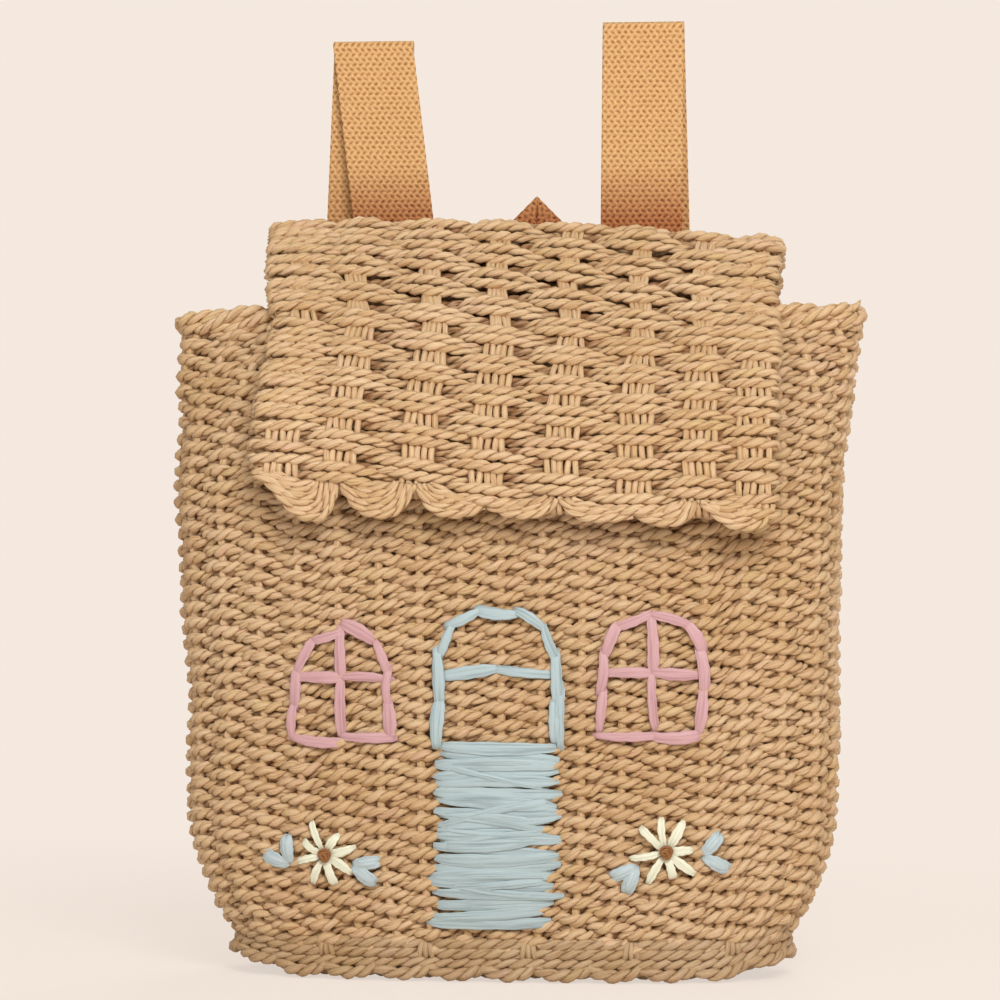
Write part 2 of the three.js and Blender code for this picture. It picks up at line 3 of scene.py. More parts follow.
import bmesh
import bpy
import numpy as np
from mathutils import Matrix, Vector


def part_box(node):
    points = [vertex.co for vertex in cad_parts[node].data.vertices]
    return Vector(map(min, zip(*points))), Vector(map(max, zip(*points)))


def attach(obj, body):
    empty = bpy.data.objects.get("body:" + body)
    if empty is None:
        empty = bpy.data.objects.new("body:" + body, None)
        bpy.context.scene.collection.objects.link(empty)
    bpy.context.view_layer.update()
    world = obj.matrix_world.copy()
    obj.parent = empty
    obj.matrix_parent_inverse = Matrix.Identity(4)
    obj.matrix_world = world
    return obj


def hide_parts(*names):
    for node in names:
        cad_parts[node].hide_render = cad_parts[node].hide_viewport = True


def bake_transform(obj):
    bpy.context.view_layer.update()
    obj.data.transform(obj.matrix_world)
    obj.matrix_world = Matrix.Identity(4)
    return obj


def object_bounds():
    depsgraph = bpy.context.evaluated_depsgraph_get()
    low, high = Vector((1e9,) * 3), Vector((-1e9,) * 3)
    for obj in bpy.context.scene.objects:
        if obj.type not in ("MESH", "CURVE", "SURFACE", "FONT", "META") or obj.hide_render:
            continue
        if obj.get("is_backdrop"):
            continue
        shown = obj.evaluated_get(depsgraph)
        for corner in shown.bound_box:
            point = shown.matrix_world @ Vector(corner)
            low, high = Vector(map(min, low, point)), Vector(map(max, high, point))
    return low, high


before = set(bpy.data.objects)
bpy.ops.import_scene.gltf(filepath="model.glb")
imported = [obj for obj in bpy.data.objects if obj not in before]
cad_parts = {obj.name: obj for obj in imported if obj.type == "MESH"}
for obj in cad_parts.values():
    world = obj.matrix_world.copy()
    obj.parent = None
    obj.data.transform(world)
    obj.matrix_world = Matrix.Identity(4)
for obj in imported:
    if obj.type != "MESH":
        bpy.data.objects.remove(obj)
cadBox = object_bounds()
mm = 0.001

# Camera and studio

cameraSet = {"lens": 154, "height": 170 * mm, "turn": 7, "distance": 1.5447, "aside": -5.5 * mm}


def addCamera():
    turn = math.radians(cameraSet["turn"])
    ahead = Vector((-math.sin(turn), math.cos(turn), 0))
    right = Vector((math.cos(turn), math.sin(turn), 0))
    lens = bpy.data.cameras.new("camera")
    lens.lens = cameraSet["lens"]
    lens.clip_start = 0.05
    lens.clip_end = 30
    camera = bpy.data.objects.new("camera", lens)
    camera.location = right * cameraSet["aside"] - ahead * cameraSet["distance"]
    camera.location.z = cameraSet["height"]
    camera.rotation_euler = (math.pi / 2, 0, turn)
    bpy.context.scene.collection.objects.link(camera)
    bpy.context.scene.camera = camera


def tone(red, green, blue):  # a screen colour, 0 to 255, as the linear colour that shaders take
    parts = []
    for value in (red, green, blue):
        share = value / 255
        parts.append(share / 12.92 if share <= 0.04045 else ((share + 0.055) / 1.055) ** 2.4)
    return (*parts, 1)


def shaded(color, share):
    return (*[part * share for part in color[:3]], 1)


def addNode(tree, kind, sockets=None, **settings):
    node = tree.nodes.new("ShaderNode" + kind)
    for name, value in settings.items():
        setattr(node, name, value)
    for name, value in (sockets or {}).items():
        if isinstance(value, bpy.types.NodeSocket):
            tree.links.new(value, node.inputs[name])
        else:
            node.inputs[name].default_value = value
    return node


def calc(tree, operation, *values):
    return addNode(tree, "Math", dict(enumerate(values)), operation=operation).outputs[0]


def mixColor(tree, share, first, second):
    return addNode(tree, "Mix", {0: share, 6: first, 7: second}, data_type="RGBA").outputs[2]


def ramp(tree, value, low, high, toLow=0.0, toHigh=1.0):
    return addNode(tree, "MapRange", {"Value": value, "From Min": low, "From Max": high,
                                      "To Min": toLow, "To Max": toHigh}).outputs[0]


def seenRay(tree):  # 1 for what the camera, a mirror or glass sees
    path = addNode(tree, "LightPath").outputs
    shiny = calc(tree, "MAXIMUM", path["Is Glossy Ray"], path["Is Transmission Ray"])
    return calc(tree, "MAXIMUM", path["Is Camera Ray"], shiny)


def meshFrom(bm, name):
    mesh = bpy.data.meshes.new(name)
    bm.to_mesh(mesh)
    bm.free()
    return mesh


studio = {
    "paper": tone(245, 233, 223),
    "skyTone": (1, 0.965, 0.92, 1),
    "skyLight": 0.43,
    "floorSize": 8,
    "paperNear": 0.25,  # from here the floor fades into the paper, and is only paper beyond paperFar
    "paperFar": 0.75,
    "nearGlow": 0.75,
    "aim": (0, 0, 0.15),
    "lamps": {
        "key": {"place": (0.55, -1.65, 1.15), "size": 0.9, "power": 28},
        "fill": {"place": (-0.6, -1.7, 0.7), "size": 1.4, "power": 3},
        "rim": {"place": (0.3, 1.6, 1.1), "size": 1.2, "power": 13},
    },
}


def addStudio():
    world = bpy.data.worlds.new("paperRoom")
    bpy.context.scene.world = world
    world.use_nodes = True
    tree = world.node_tree
    tree.nodes.clear()
    light = addNode(tree, "Background", {"Color": studio["skyTone"], "Strength": studio["skyLight"]})
    paper = addNode(tree, "Background", {"Color": studio["paper"], "Strength": 1})
    mix = addNode(tree, "MixShader", {0: seenRay(tree), 1: light.outputs[0], 2: paper.outputs[0]})
    addNode(tree, "OutputWorld", {"Surface": mix.outputs[0]})

    bm = bmesh.new()
    bmesh.ops.create_grid(bm, x_segments=1, y_segments=1, size=studio["floorSize"])
    mesh = meshFrom(bm, "floor")
    floor = bpy.data.objects.new("floor", mesh)
    bpy.context.scene.collection.objects.link(floor)
    material = bpy.data.materials.new("paperFloor")
    material.use_nodes = True
    tree = material.node_tree
    tree.nodes.clear()
    place = addNode(tree, "TexCoord")
    away = addNode(tree, "VectorMath", {0: place.outputs["Object"]}, operation="LENGTH")
    fade = ramp(tree, away.outputs["Value"], studio["paperNear"], studio["paperFar"], studio["nearGlow"])
    share = calc(tree, "MULTIPLY", fade, seenRay(tree))
    lit = addNode(tree, "BsdfDiffuse", {"Color": studio["paper"]})
    glow = addNode(tree, "Emission", {"Color": studio["paper"], "Strength": 1})
    mix = addNode(tree, "MixShader", {0: share, 1: lit.outputs[0], 2: glow.outputs[0]})
    addNode(tree, "OutputMaterial", {"Surface": mix.outputs[0]})
    mesh.materials.append(material)
    floor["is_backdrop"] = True

    for name, lamp in studio["lamps"].items():
        light = bpy.data.lights.new(name, "AREA")
        light.shape = "DISK"
        light.size = lamp["size"]
        light.energy = lamp["power"]
        lampObject = bpy.data.objects.new(name, light)
        lampObject.location = lamp["place"]
        aim = Vector(studio["aim"]) - Vector(lamp["place"])
        lampObject.rotation_euler = aim.to_track_quat("-Z", "Y").to_euler()
        bpy.context.scene.collection.objects.link(lampObject)
    bpy.context.scene.view_settings.view_transform = "Standard"


addCamera()
addStudio()
print("camera and studio ready")

# Materials

strawTones = {
    # the darkest tone here is painted shade, laid in the grooves between plies and on cord parts hidden in
    # the weave
    "grooveShade": tone(112, 62, 14),
    "dark": tone(160, 114, 62),
    "middle": tone(205, 170, 126),
    "light": tone(218, 187, 148),
    "rosy": tone(216, 178, 150),
    "green": tone(208, 181, 125),
    "creaseLength": 0.009,
    "fibreLength": 0.016,
    "toneLength": 0.04,
    "patchSize": 0.05,
    "roughness": 0.6,
}
strawLayers = [  # tone, pattern, its values for none and for all of the tone, most of the tone
    ("rosy", "blush", 0.57, 0.72, 0.45),
    ("green", "blush", 0.42, 0.28, 0.4),
    ("dark", "creases", 0.5, 0.3, 0.6),
    ("dark", "fibres", 0.44, 0.32, 0.55),
    # painted shade in the grooves between plies and on hidden cord parts, driven by the rise attribute
    ("grooveShade", "raggedGrooveShade", 0.5, 0.04, 0.9),
]


def newMaterial(name, roughness):
    material = bpy.data.materials.new(name)
    material.use_nodes = True
    tree = material.node_tree
    shader = tree.nodes["Principled BSDF"]
    shader.inputs["Roughness"].default_value = roughness
    return material, tree, shader


def dress(tree, shader, body, height, specular, strength, depth):
    tree.links.new(body, shader.inputs["Base Color"])
    shader.inputs["Specular IOR Level"].default_value = specular
    bump = addNode(tree, "Bump", {"Height": height, "Strength": strength, "Distance": depth})
    tree.links.new(bump.outputs[0], shader.inputs["Normal"])


def splitUv(tree):  # metres along the strand, and turns round it plus the strand's own whole number
    place = addNode(tree, "TexCoord")
    split = addNode(tree, "SeparateXYZ", {0: place.outputs["UV"]}).outputs
    return split["X"], split["Y"], calc(tree, "FLOOR", split["Y"])


def strandNoise(tree, along, across, length, turns, detail=3):  # streaks that run along a strand
    spot = addNode(tree, "CombineXYZ", {"X": calc(tree, "MULTIPLY", along, 1 / length),
                                        "Y": calc(tree, "MULTIPLY", across, turns)})
    return addNode(tree, "TexNoise", {"Vector": spot.outputs[0], "Scale": 1, "Detail": detail,
                                      "Roughness": 0.6}).outputs["Fac"]


def strawMaterial(name, shade=1.0):
    material, tree, shader = newMaterial(name, strawTones["roughness"])
    along, across, number = splitUv(tree)
    creases = strandNoise(tree, along, across, strawTones["creaseLength"], 7)
    fibres = strandNoise(tree, along, across, strawTones["fibreLength"], 15, 2)
    hue = strandNoise(tree, along, number, strawTones["toneLength"], 3.7, 1)
    blush = strandNoise(tree, along, number, strawTones["toneLength"] * 0.7, 5.3, 1)
    place = addNode(tree, "TexCoord")
    patches = addNode(tree, "TexNoise", {"Vector": place.outputs["Object"], "Detail": 2,
                                         "Scale": 1 / strawTones["patchSize"]}).outputs["Fac"]
    # a shade below 1 darkens every tone: painted shade for straw that should get less light
    tones = {key: shaded(value, shade) for key, value in strawTones.items() if isinstance(value, tuple)}
    # rise is low in the ply grooves and on the hidden sides of cords, and sets where the painted groove shade
    # goes
    rise = addNode(tree, "Attribute", attribute_name="rise").outputs["Fac"]
    raggedGrooveShade = calc(tree, "ADD", ramp(tree, creases, 0.3, 0.7, -0.12, 0.12), rise)
    patterns = {"blush": blush, "creases": creases, "fibres": fibres, "raggedGrooveShade": raggedGrooveShade}
    lightness = ramp(tree, calc(tree, "ADD", hue, patches), 0.8, 1.2)
    body = mixColor(tree, lightness, tones["middle"], tones["light"])
    for key, pattern, none, full, most in strawLayers:
        body = mixColor(tree, ramp(tree, patterns[pattern], none, full, 0, most), body, tones[key])
    dress(tree, shader, body, calc(tree, "ADD", creases, fibres), 0.3, 0.85, 0.35 * mm)
    return material


raffiaTones = {
    "blue": (tone(172, 190, 193), tone(98, 114, 116)),
    "pink": (tone(200, 158, 160), tone(148, 96, 100)),
    "cream": (tone(230, 230, 207), tone(186, 180, 144)),
    "leaf": (tone(184, 199, 202), tone(138, 152, 154)),
    "brown": (tone(150, 100, 55), tone(88, 52, 25)),
}


def raffiaMaterial(name, light, dark):
    material, tree, shader = newMaterial(name, 0.5)
    along, across, number = splitUv(tree)
    folds = strandNoise(tree, along, across, 0.03, 9, 4)
    lines = strandNoise(tree, along, across, 0.06, 26, 2)
    body = mixColor(tree, ramp(tree, folds, 0.52, 0.3, 0, 0.6), light, dark)
    body = mixColor(tree, ramp(tree, lines, 0.42, 0.3, 0, 0.5), body, dark)
    dress(tree, shader, body, folds, 0.4, 0.7, 0.3 * mm)
    return material


webbingLook = {
    "width": 30 * mm,
    "thickness": 1.7 * mm,
    "endPitch": 1.2 * mm,
    "rowPitch": 1.85 * mm,
    "relief": 0.16 * mm,
    "light": tone(220, 174, 118),
    "dark": tone(160, 104, 56),
    # tones for the painted shade where the straps pass behind the flap
    "paintedShadeLightTone": tone(182, 112, 64),
    "paintedShadeDarkTone": tone(88, 36, 8),
    "rowShare": 0.7,
    "slant": 3.0 / (1.85 * mm),
    "crossShare": 0.55,
    "crossDrop": 0.2,
    "yarnScale": 900,
    "yarnShare": 0.6,
    "paintedShadeFrom": 240 * mm,  # heights of the band of painted shade just above the flap
    "paintedShadeMost": 272 * mm,
    "paintedShadeTo": 294 * mm,
    "paintedShadeDepths": (45.5 * mm, 43.5 * mm),  # the back length, from the first depth on, has less of the painted shade
    "backShare": 0.4,
}


def webbingHeight(across, along):  # 1 on the middle of a float, less on the cross threads between
    ends = np.cos(math.pi * across / webbingLook["endPitch"])
    lattice = ends * np.cos(math.pi * along / webbingLook["rowPitch"])
    return np.maximum(lattice, -webbingLook["crossShare"] * lattice - webbingLook["crossDrop"])


def webbingMaterial(name):
    look = webbingLook
    material, tree, shader = newMaterial(name, 0.7)
    place = addNode(tree, "TexCoord").outputs
    split = addNode(tree, "SeparateXYZ", {0: place["UV"]}).outputs
    across, along = split["X"], split["Y"]
    slant = calc(tree, "MULTIPLY", calc(tree, "PINGPONG", along, look["rowPitch"]), look["slant"])
    row = calc(tree, "FLOOR", calc(tree, "DIVIDE", along, look["rowPitch"]))
    turn = calc(tree, "MULTIPLY", across, math.pi / look["endPitch"])
    for part in (slant, calc(tree, "MULTIPLY", row, math.pi)):
        turn = calc(tree, "ADD", turn, part)
    rows = calc(tree, "COSINE", calc(tree, "MULTIPLY", along, 2 * math.pi / look["rowPitch"]))
    height = calc(tree, "ADD", calc(tree, "COSINE", turn), calc(tree, "MULTIPLY", rows, look["rowShare"]))
    yarn = addNode(tree, "TexNoise", {"Vector": place["UV"], "Scale": look["yarnScale"], "Detail": 2})
    uneven = ramp(tree, yarn.outputs["Fac"], 0.3, 0.7, -look["yarnShare"], look["yarnShare"])
    height = calc(tree, "ADD", height, uneven)
    spot = addNode(tree, "SeparateXYZ", {0: place["Object"]}).outputs
    # painted shade: a darker, redder band on the straps and hang loop just above the flap, with less of it on
    # the back length
    below = ramp(tree, spot["Z"], look["paintedShadeFrom"], look["paintedShadeMost"])
    above = ramp(tree, spot["Z"], look["paintedShadeTo"], look["paintedShadeMost"])
    front = ramp(tree, spot["Y"], *look["paintedShadeDepths"], look["backShare"])
    paintedShade = calc(tree, "MULTIPLY", calc(tree, "MINIMUM", below, above), front)
    dark = mixColor(tree, paintedShade, look["dark"], look["paintedShadeDarkTone"])
    light = mixColor(tree, paintedShade, look["light"], look["paintedShadeLightTone"])
    # the low places between the floats get painted shade; the yarn noise varies it at random
    body = mixColor(tree, ramp(tree, height, -1.8, 0.3), dark, light)
    dress(tree, shader, body, height, 0.3, 0.8, 0.2 * mm)
    return material


def metalMaterial(name, color, wornColor):
    material, tree, shader = newMaterial(name, 0.32)
    place = addNode(tree, "TexCoord")
    wear = addNode(tree, "TexNoise", {"Vector": place.outputs["Object"], "Scale": 420, "Detail": 4})
    wear = wear.outputs["Fac"]
    tree.links.new(mixColor(tree, ramp(tree, wear, 0.4, 0.7), color, wornColor), shader.inputs["Base Color"])
    tree.links.new(ramp(tree, wear, 0.3, 0.7, 0.25, 0.45), shader.inputs["Roughness"])
    shader.inputs["Metallic"].default_value = 1
    return material


straw = strawMaterial("straw")
# darker copies of the straw: painted shade on the wall, and more on the foot and base
wallStrawPaintedShade = strawMaterial("wallStrawPaintedShade", 0.95)
footStrawPaintedShade = strawMaterial("footStrawPaintedShade", 0.74)
raffia = {name: raffiaMaterial(name + "Raffia", *pair) for name, pair in raffiaTones.items()}
webbing = webbingMaterial("webbing")
thread = raffiaMaterial("thread", tone(236, 184, 132), tone(205, 146, 92))
brassTone = tone(196, 166, 112)
brass = metalMaterial("brass", brassTone, shaded(brassTone, 0.55))
print("materials ready")

# Strands: routes become round tubes by way of a curve, then one merged mesh


def unit(vectors):
    return vectors / np.linalg.norm(vectors, axis=-1, keepdims=True)


def headings(line, closed):
    if closed:
        return unit(np.roll(line, -1, 0) - np.roll(line, 1, 0))
    return unit(np.gradient(line, axis=0))


def wander(rng, shares, waves):  # a smooth random line that also closes on itself
    total = np.zeros_like(shares)
    for part in range(4):
        turns = rng.integers(waves // 2 + 1, waves * 2 + 2) * shares + rng.random()
        total = total + np.sin(2 * math.pi * turns)
    return total / 2.5


def runAlong(line):  # the way along a line up to each of its points
    return np.concatenate([[0], np.cumsum(np.linalg.norm(np.diff(line, axis=0), axis=1))])


def link(name, mesh, material):
    piece = bpy.data.objects.new(name, mesh)
    bpy.context.scene.collection.objects.link(piece)
    mesh.materials.clear()
    mesh.materials.append(material)
    return piece


def riseOnCord(spots, share, strand):  # 0 in the groove between two plies, 1 on their crests, and lower on the outer side of hidden parts; it drives painted shade
    line, radius, closed, axis, shade, outward, cord = strand
    place = share * (len(line) if closed else len(line) - 1)
    low = place.astype(int) % len(line)
    high = (low + 1) % len(line) if closed else np.minimum(low + 1, len(line) - 1)
    part = (place % 1)[:, None]
    offset = spots - axis[low] * (1 - part) - axis[high] * part
    away = np.linalg.norm(offset, axis=1)
    facing = (offset * outward[low]).sum(1) / np.maximum(away, 1e-6)
    fullness = (np.broadcast_to(radius, len(line)) / cord["plyRadius"])[low]
    groove = math.sqrt(cord["plyRadius"] ** 2 - cord["spread"] ** 2)
    rise = (away / fullness - groove) / (cord["plyRadius"] + cord["spread"] - groove)
    # painted shade on the outer side of cord parts that lie behind the weave
    hidden = (1 - np.broadcast_to(shade, len(line))[low]) * smooth((facing + 0.3) / 0.6)
    return np.clip(rise, 0, 1) * (1 - hidden)


def strandPiece(name, strands, material, sides=6, seed=1):
    curve = bpy.data.curves.new(name, "CURVE")
    curve.dimensions = "3D"
    curve.bevel_depth = 1
    curve.bevel_resolution = (sides - 4) // 2
    curve.use_fill_caps = True
    for line, radius, closed, *cord in strands:
        spline = curve.splines.new("POLY")
        spline.points.add(len(line) - 1)
        places = np.ones((len(line), 4))
        places[:, :3] = line
        spline.points.foreach_set("co", places.ravel())
        spline.points.foreach_set("radius", np.broadcast_to(radius, len(line)).astype(float))
        spline.use_cyclic_u = closed
    route = bpy.data.objects.new(name + "_route", curve)
    bpy.context.scene.collection.objects.link(route)
    bpy.context.view_layer.update()
    mesh = bpy.data.meshes.new_from_object(route.evaluated_get(bpy.context.evaluated_depsgraph_get()))
    bpy.data.objects.remove(route)
    bpy.data.curves.remove(curve)

    layer = mesh.uv_layers[0].data
    uv = np.zeros(len(layer) * 2)
    layer.foreach_get("uv", uv)
    uv = uv.reshape(-1, 2)
    rise = np.ones(len(layer))
    corners = np.zeros(len(layer), dtype=np.int32)
    mesh.loops.foreach_get("vertex_index", corners)
    places = np.zeros(len(mesh.vertices) * 3)
    mesh.vertices.foreach_get("co", places)
    places = places.reshape(-1, 3)[corners]
    rng = np.random.default_rng(seed)
    at = sum(0 if strand[2] else 6 * (sides - 2) for strand in strands)  # the end caps come first
    # the end caps get part of the painted groove shade
    rise[:at] = 0.4
    for strand in strands:
        line, closed = strand[0], strand[2]
        size = 4 * sides * (len(line) if closed else len(line) - 1)
        length = np.linalg.norm(np.diff(line, axis=0), axis=1).sum()
        if len(strand) > 3:
            rise[at:at + size] = riseOnCord(places[at:at + size], uv[at:at + size, 0], strand)
        uv[at:at + size, 0] = uv[at:at + size, 0] * length + rng.random()
        uv[at:at + size, 1] += rng.integers(0, 60)
        at += size
    layer.foreach_set("uv", uv.ravel())
    mesh.attributes.new("rise", "FLOAT", "CORNER").data.foreach_set("value", rise)
    bm = bmesh.new()
    bm.from_mesh(mesh)
    bmesh.ops.remove_doubles(bm, verts=bm.verts, dist=1e-7)
    bm.to_mesh(mesh)
    bm.free()
    mesh.name = name
    return link(name, mesh, material)


def smoothFaces(bm, spots):  # spots gives each vertex of the faces its place on the UV map
    layer = bm.loops.layers.uv.verify()
    for face in {face for vert in spots for face in vert.link_faces}:
        face.smooth = True
        for loop in face.loops:
            loop[layer].uv = spots[loop.vert]


wallCord = {"plies": 2, "turnLength": 9.6 * mm, "spread": 0.84 * mm, "plyRadius": 1.39 * mm}
flapCord = {"plies": 2, "turnLength": 10.4 * mm, "spread": 0.86 * mm, "plyRadius": 1.36 * mm}


def twisted(line, outward, cord, closed=False, start=0.0, fullness=1.0, shade=1.0):
    tangent = headings(line, closed)
    side = unit(np.cross(outward, tangent))
    away = np.cross(tangent, side)
    run = runAlong(line)
    turnLength = cord["turnLength"]
    if closed:
        whole = run[-1] + np.linalg.norm(line[0] - line[-1])
        turnLength = whole / round(whole / turnLength)
    fullness = np.broadcast_to(fullness, len(line))
    plies = []
    for ply in range(cord["plies"]):
        turn = 2 * math.pi * (run / turnLength + start + ply / cord["plies"])
        offset = np.cos(turn)[:, None] * away + np.sin(turn)[:, None] * side
        points = line + offset * (cord["spread"] * fullness)[:, None]
        lumps = 1 + 0.07 * np.sin(turn * 0.61 + 40 * start) + 0.05 * np.sin(turn * 1.7 + 90 * start)
        plies.append((points, cord["plyRadius"] * fullness * lumps, closed, line, shade, outward, cord))
    return plies


# Basket wall

basket = {
    "height": 239 * mm,
    "footHalfWidth": 115.5 * mm,
    "rimHalfWidth": 124 * mm,
    "flarePower": 1.3,
    "bellyDepth": 45 * mm,
    "squareness": 3,
    "wall": 8 * mm,
    "cornerHeight": 60 * mm,
    "cornerInsetWidth": 28 * mm,
    "cornerInsetDepth": 9 * mm,
    "cornerPower": 1.8,
    "pinchStart": 150 * mm,
    "pinchRun": 65 * mm,
    "pinchDepth": 18 * mm,
    "pinchPower": 2.95,
    "backLean": 11 * mm,
    "frontRimDip": 8 * mm,
    "dipHalfWidth": 94 * mm,
    "dipEnd": 15 * mm,
    "rowDroop": 4.5 * mm,
    "droopStart": 0.3,  # share of the half width that stays level
    "droopLevel": 0.25,  # where the rows droop most
    "footLift": 6 * mm,
    "liftStart": 72 * mm,
    "liftRun": 30 * mm,
    "unevenAt": (0, 12, 19, 33, 48, 62, 84, 98, 127, 141, 156, 170, 184, 199, 213, 228, 239),
    "unevenLeft": (-4, 0.5, 4.6, 3.6, 3.2, 2.6, 2.4, 0.4, 2.8, 2.5, 2.4, 3.6, 2.4, 0.4, 1.6, 0.6, -1.6),
    "unevenRight": (-4, -0.5, 1.2, 0.8, -0.2, -0.6, -0.4, -0.8, -2.2, -2, -2.6, -2.6, -3, -0.6, 0.2, 2.2,
                    1.2),
    "bottom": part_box("basket_wall")[0].z,
    "top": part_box("basket_wall")[1].z,
}


def smooth(share):
    share = np.clip(share, 0, 1)
    return share * share * (3 - 2 * share)


def cornerShare(z):
    return np.clip(1 - z / basket["cornerHeight"], 0, None) ** basket["cornerPower"]


def halfWidth(z):
    flare = (z / basket["height"]) ** basket["flarePower"]
    wide = basket["footHalfWidth"] + (basket["rimHalfWidth"] - basket["footHalfWidth"]) * flare
    return wide - basket["cornerInsetWidth"] * cornerShare(z)


def frontDepth(z):
    run = np.clip((z - basket["pinchStart"]) / basket["pinchRun"], 0, None)
    power = basket["pinchPower"]
    pinch = np.minimum(run, 1) ** power + power * np.clip(run - 1, 0, None)
    return basket["bellyDepth"] - basket["cornerInsetDepth"] * cornerShare(z) - basket["pinchDepth"] * pinch


def backDepth(z):
    run = np.clip((z - basket["pinchStart"]) / (basket["height"] - basket["pinchStart"]), 0, None)
    return basket["bellyDepth"] - basket["cornerInsetDepth"] * cornerShare(z) - basket["backLean"] * run ** 2


def frontWall(x, z):  # the front's outer face
    across = np.clip(np.abs(x) / halfWidth(z), 0, 1)
    return -frontDepth(z) * (1 - across ** basket["squareness"]) ** (1 / basket["squareness"])


def outline(angles, z, inset):
    wide = halfWidth(z) - inset
    deep = np.where(np.sin(angles) < 0, frontDepth(z), backDepth(z)) - inset
    power = basket["squareness"]
    reach = (np.abs(np.cos(angles) / wide) ** power + np.abs(np.sin(angles) / deep) ** power) ** (-1 / power)
    return reach * np.cos(angles), reach * np.sin(angles)


ringAngles = np.linspace(0, 2 * math.pi, 2401)


def footLift(x):  # the foot's ends are rounded up off the floor
    return basket["footLift"] * smooth((np.abs(x) - basket["liftStart"]) / basket["liftRun"])


def levelHeight(angles, level):  # level 0 is the wall's lower edge and 1 its top edge
    x, y = outline(angles, basket["bottom"] + (basket["top"] - basket["bottom"]) * level, 0)
    low = basket["bottom"] + footLift(x)
    dip = basket["frontRimDip"] * smooth((basket["dipHalfWidth"] - np.abs(x)) / basket["dipEnd"]) * (y < 0)
    start, most = basket["droopStart"], basket["droopLevel"]
    sides = smooth((np.abs(x) / basket["footHalfWidth"] - start) / (1 - start))
    droop = basket["rowDroop"] * sides * np.minimum(level / most, (1 - level) / (1 - most))
    return low + (basket["top"] - low) * level - droop - dip * level ** 3


def unevenOutline(x, z):  # the sides bow in and out a little, as the photo shows them
    share = (x / halfWidth(z)) ** 2
    left, right = [np.interp(z / mm, basket["unevenAt"], basket["uneven" + side]) * mm
                   for side in ("Left", "Right")]
    return x + share * np.where(x < 0, -left, right)


def ringAngle(shares, level, inset):  # shares of the way round, half of them at the back, as angles
    x, y = outline(ringAngles, levelHeight(ringAngles, level), inset)
    run = runAlong(np.stack([x, y], 1))
    half = np.interp(math.pi, ringAngles, run)
    return np.interp(np.interp(np.mod(shares, 1), [0, 0.5, 1], [0, half, run[-1]]), run, ringAngles)


def ringAt(shares, level, inset=basket["wall"] / 2):
    spots = []
    for step in (0, 1e-3, -1e-3):
        angles = ringAngle(shares + step, level, inset)
        z = levelHeight(angles, level)
        x, y = outline(angles, z, inset)
        spots.append(np.stack([unevenOutline(x, z), y, z], 1))
    along = spots[1] - spots[2]
    outward = unit(np.stack([along[:, 1], -along[:, 0], np.zeros(len(shares))], 1))
    return spots[0], outward


wallWeave = {
    "stakes": 38,
    "stakeShift": 0.5,
    "rows": 77,
    "samples": 12,
    "swing": 1.7 * mm,
    "narrow": 0.83,
    "fullFront": 0.12,
    "fullUneven": 0.06,
    "darkest": 0.3,
    "stakeSwing": 0.8 * mm,
    "stakeRadius": 1.6 * mm,
    "uneven": 0.5 * mm,
    "unevenDepth": 0.2 * mm,
    "bands": 5,
}


def overUnder(phase):  # flat-topped floats with a quick change of side
    wave = np.cos(phase)
    return np.sign(wave) * np.abs(wave) ** 0.8


def weaveWall():
    stakes, rows = wallWeave["stakes"], wallWeave["rows"]
    shares = np.arange(stakes * wallWeave["samples"]) / (stakes * wallWeave["samples"])
    phase = math.pi * (shares * stakes - wallWeave["stakeShift"])
    rng = np.random.default_rng(5)
    bandRows = math.ceil(rows / wallWeave["bands"])
    for band in range(wallWeave["bands"]):
        strands = []
        for row in range(band * bandRows, min(rows, (band + 1) * bandRows)):
            line, outward = ringAt(shares, (row + 0.5) / rows)
            wave = overUnder(phase + math.pi * row)
            out = wallWeave["swing"] * wave + wallWeave["unevenDepth"] * wander(rng, shares, 60)
            line = line + outward * out[:, None]
            line[:, 2] += wallWeave["uneven"] * wander(rng, shares, 30)
            fullness = wallWeave["narrow"] + (1 - wallWeave["narrow"]) * np.abs(wave)
            fullness = fullness + wallWeave["fullFront"] * np.clip(wave, 0, 1)
            fullness = fullness * (1 + wallWeave["fullUneven"] * wander(rng, shares, 50))
            # painted shade: the cords' parts behind the stakes are darker on their outer side, down to
            # darkest
            shade = wallWeave["darkest"] + (1 - wallWeave["darkest"]) * smooth(wave + 1)
            strands += twisted(line, outward, wallCord, True, rng.random(), fullness, shade)
        piece = strandPiece("wall_weave_" + str(band + 1), strands, wallStrawPaintedShade, seed=band)
        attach(piece, "basket")
        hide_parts("basket_wall")


def wallStakes():
    stakes, rows = wallWeave["stakes"], wallWeave["rows"]
    levels = np.linspace(0, 1, rows * 2 + 1)
    shares = (np.arange(stakes) + wallWeave["stakeShift"]) / stakes
    grid = [ringAt(shares, level) for level in levels]
    strands = []
    for stake in range(stakes):
        line = np.array([spots[stake] for spots, outward in grid])
        outward = np.array([outward[stake] for spots, outward in grid])
        wave = wallWeave["stakeSwing"] * np.cos(math.pi * (stake + levels * rows - 0.5))
        strands.append((line - outward * wave[:, None], wallWeave["stakeRadius"], False))
    piece = strandPiece("wall_stakes", strands, wallStrawPaintedShade, seed=11)
    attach(piece, "basket")
    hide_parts("basket_wall")


weaveWall()
wallStakes()
print("basket wall woven")

# Borders: each stake's end is laid over its neighbours round the rim and the foot

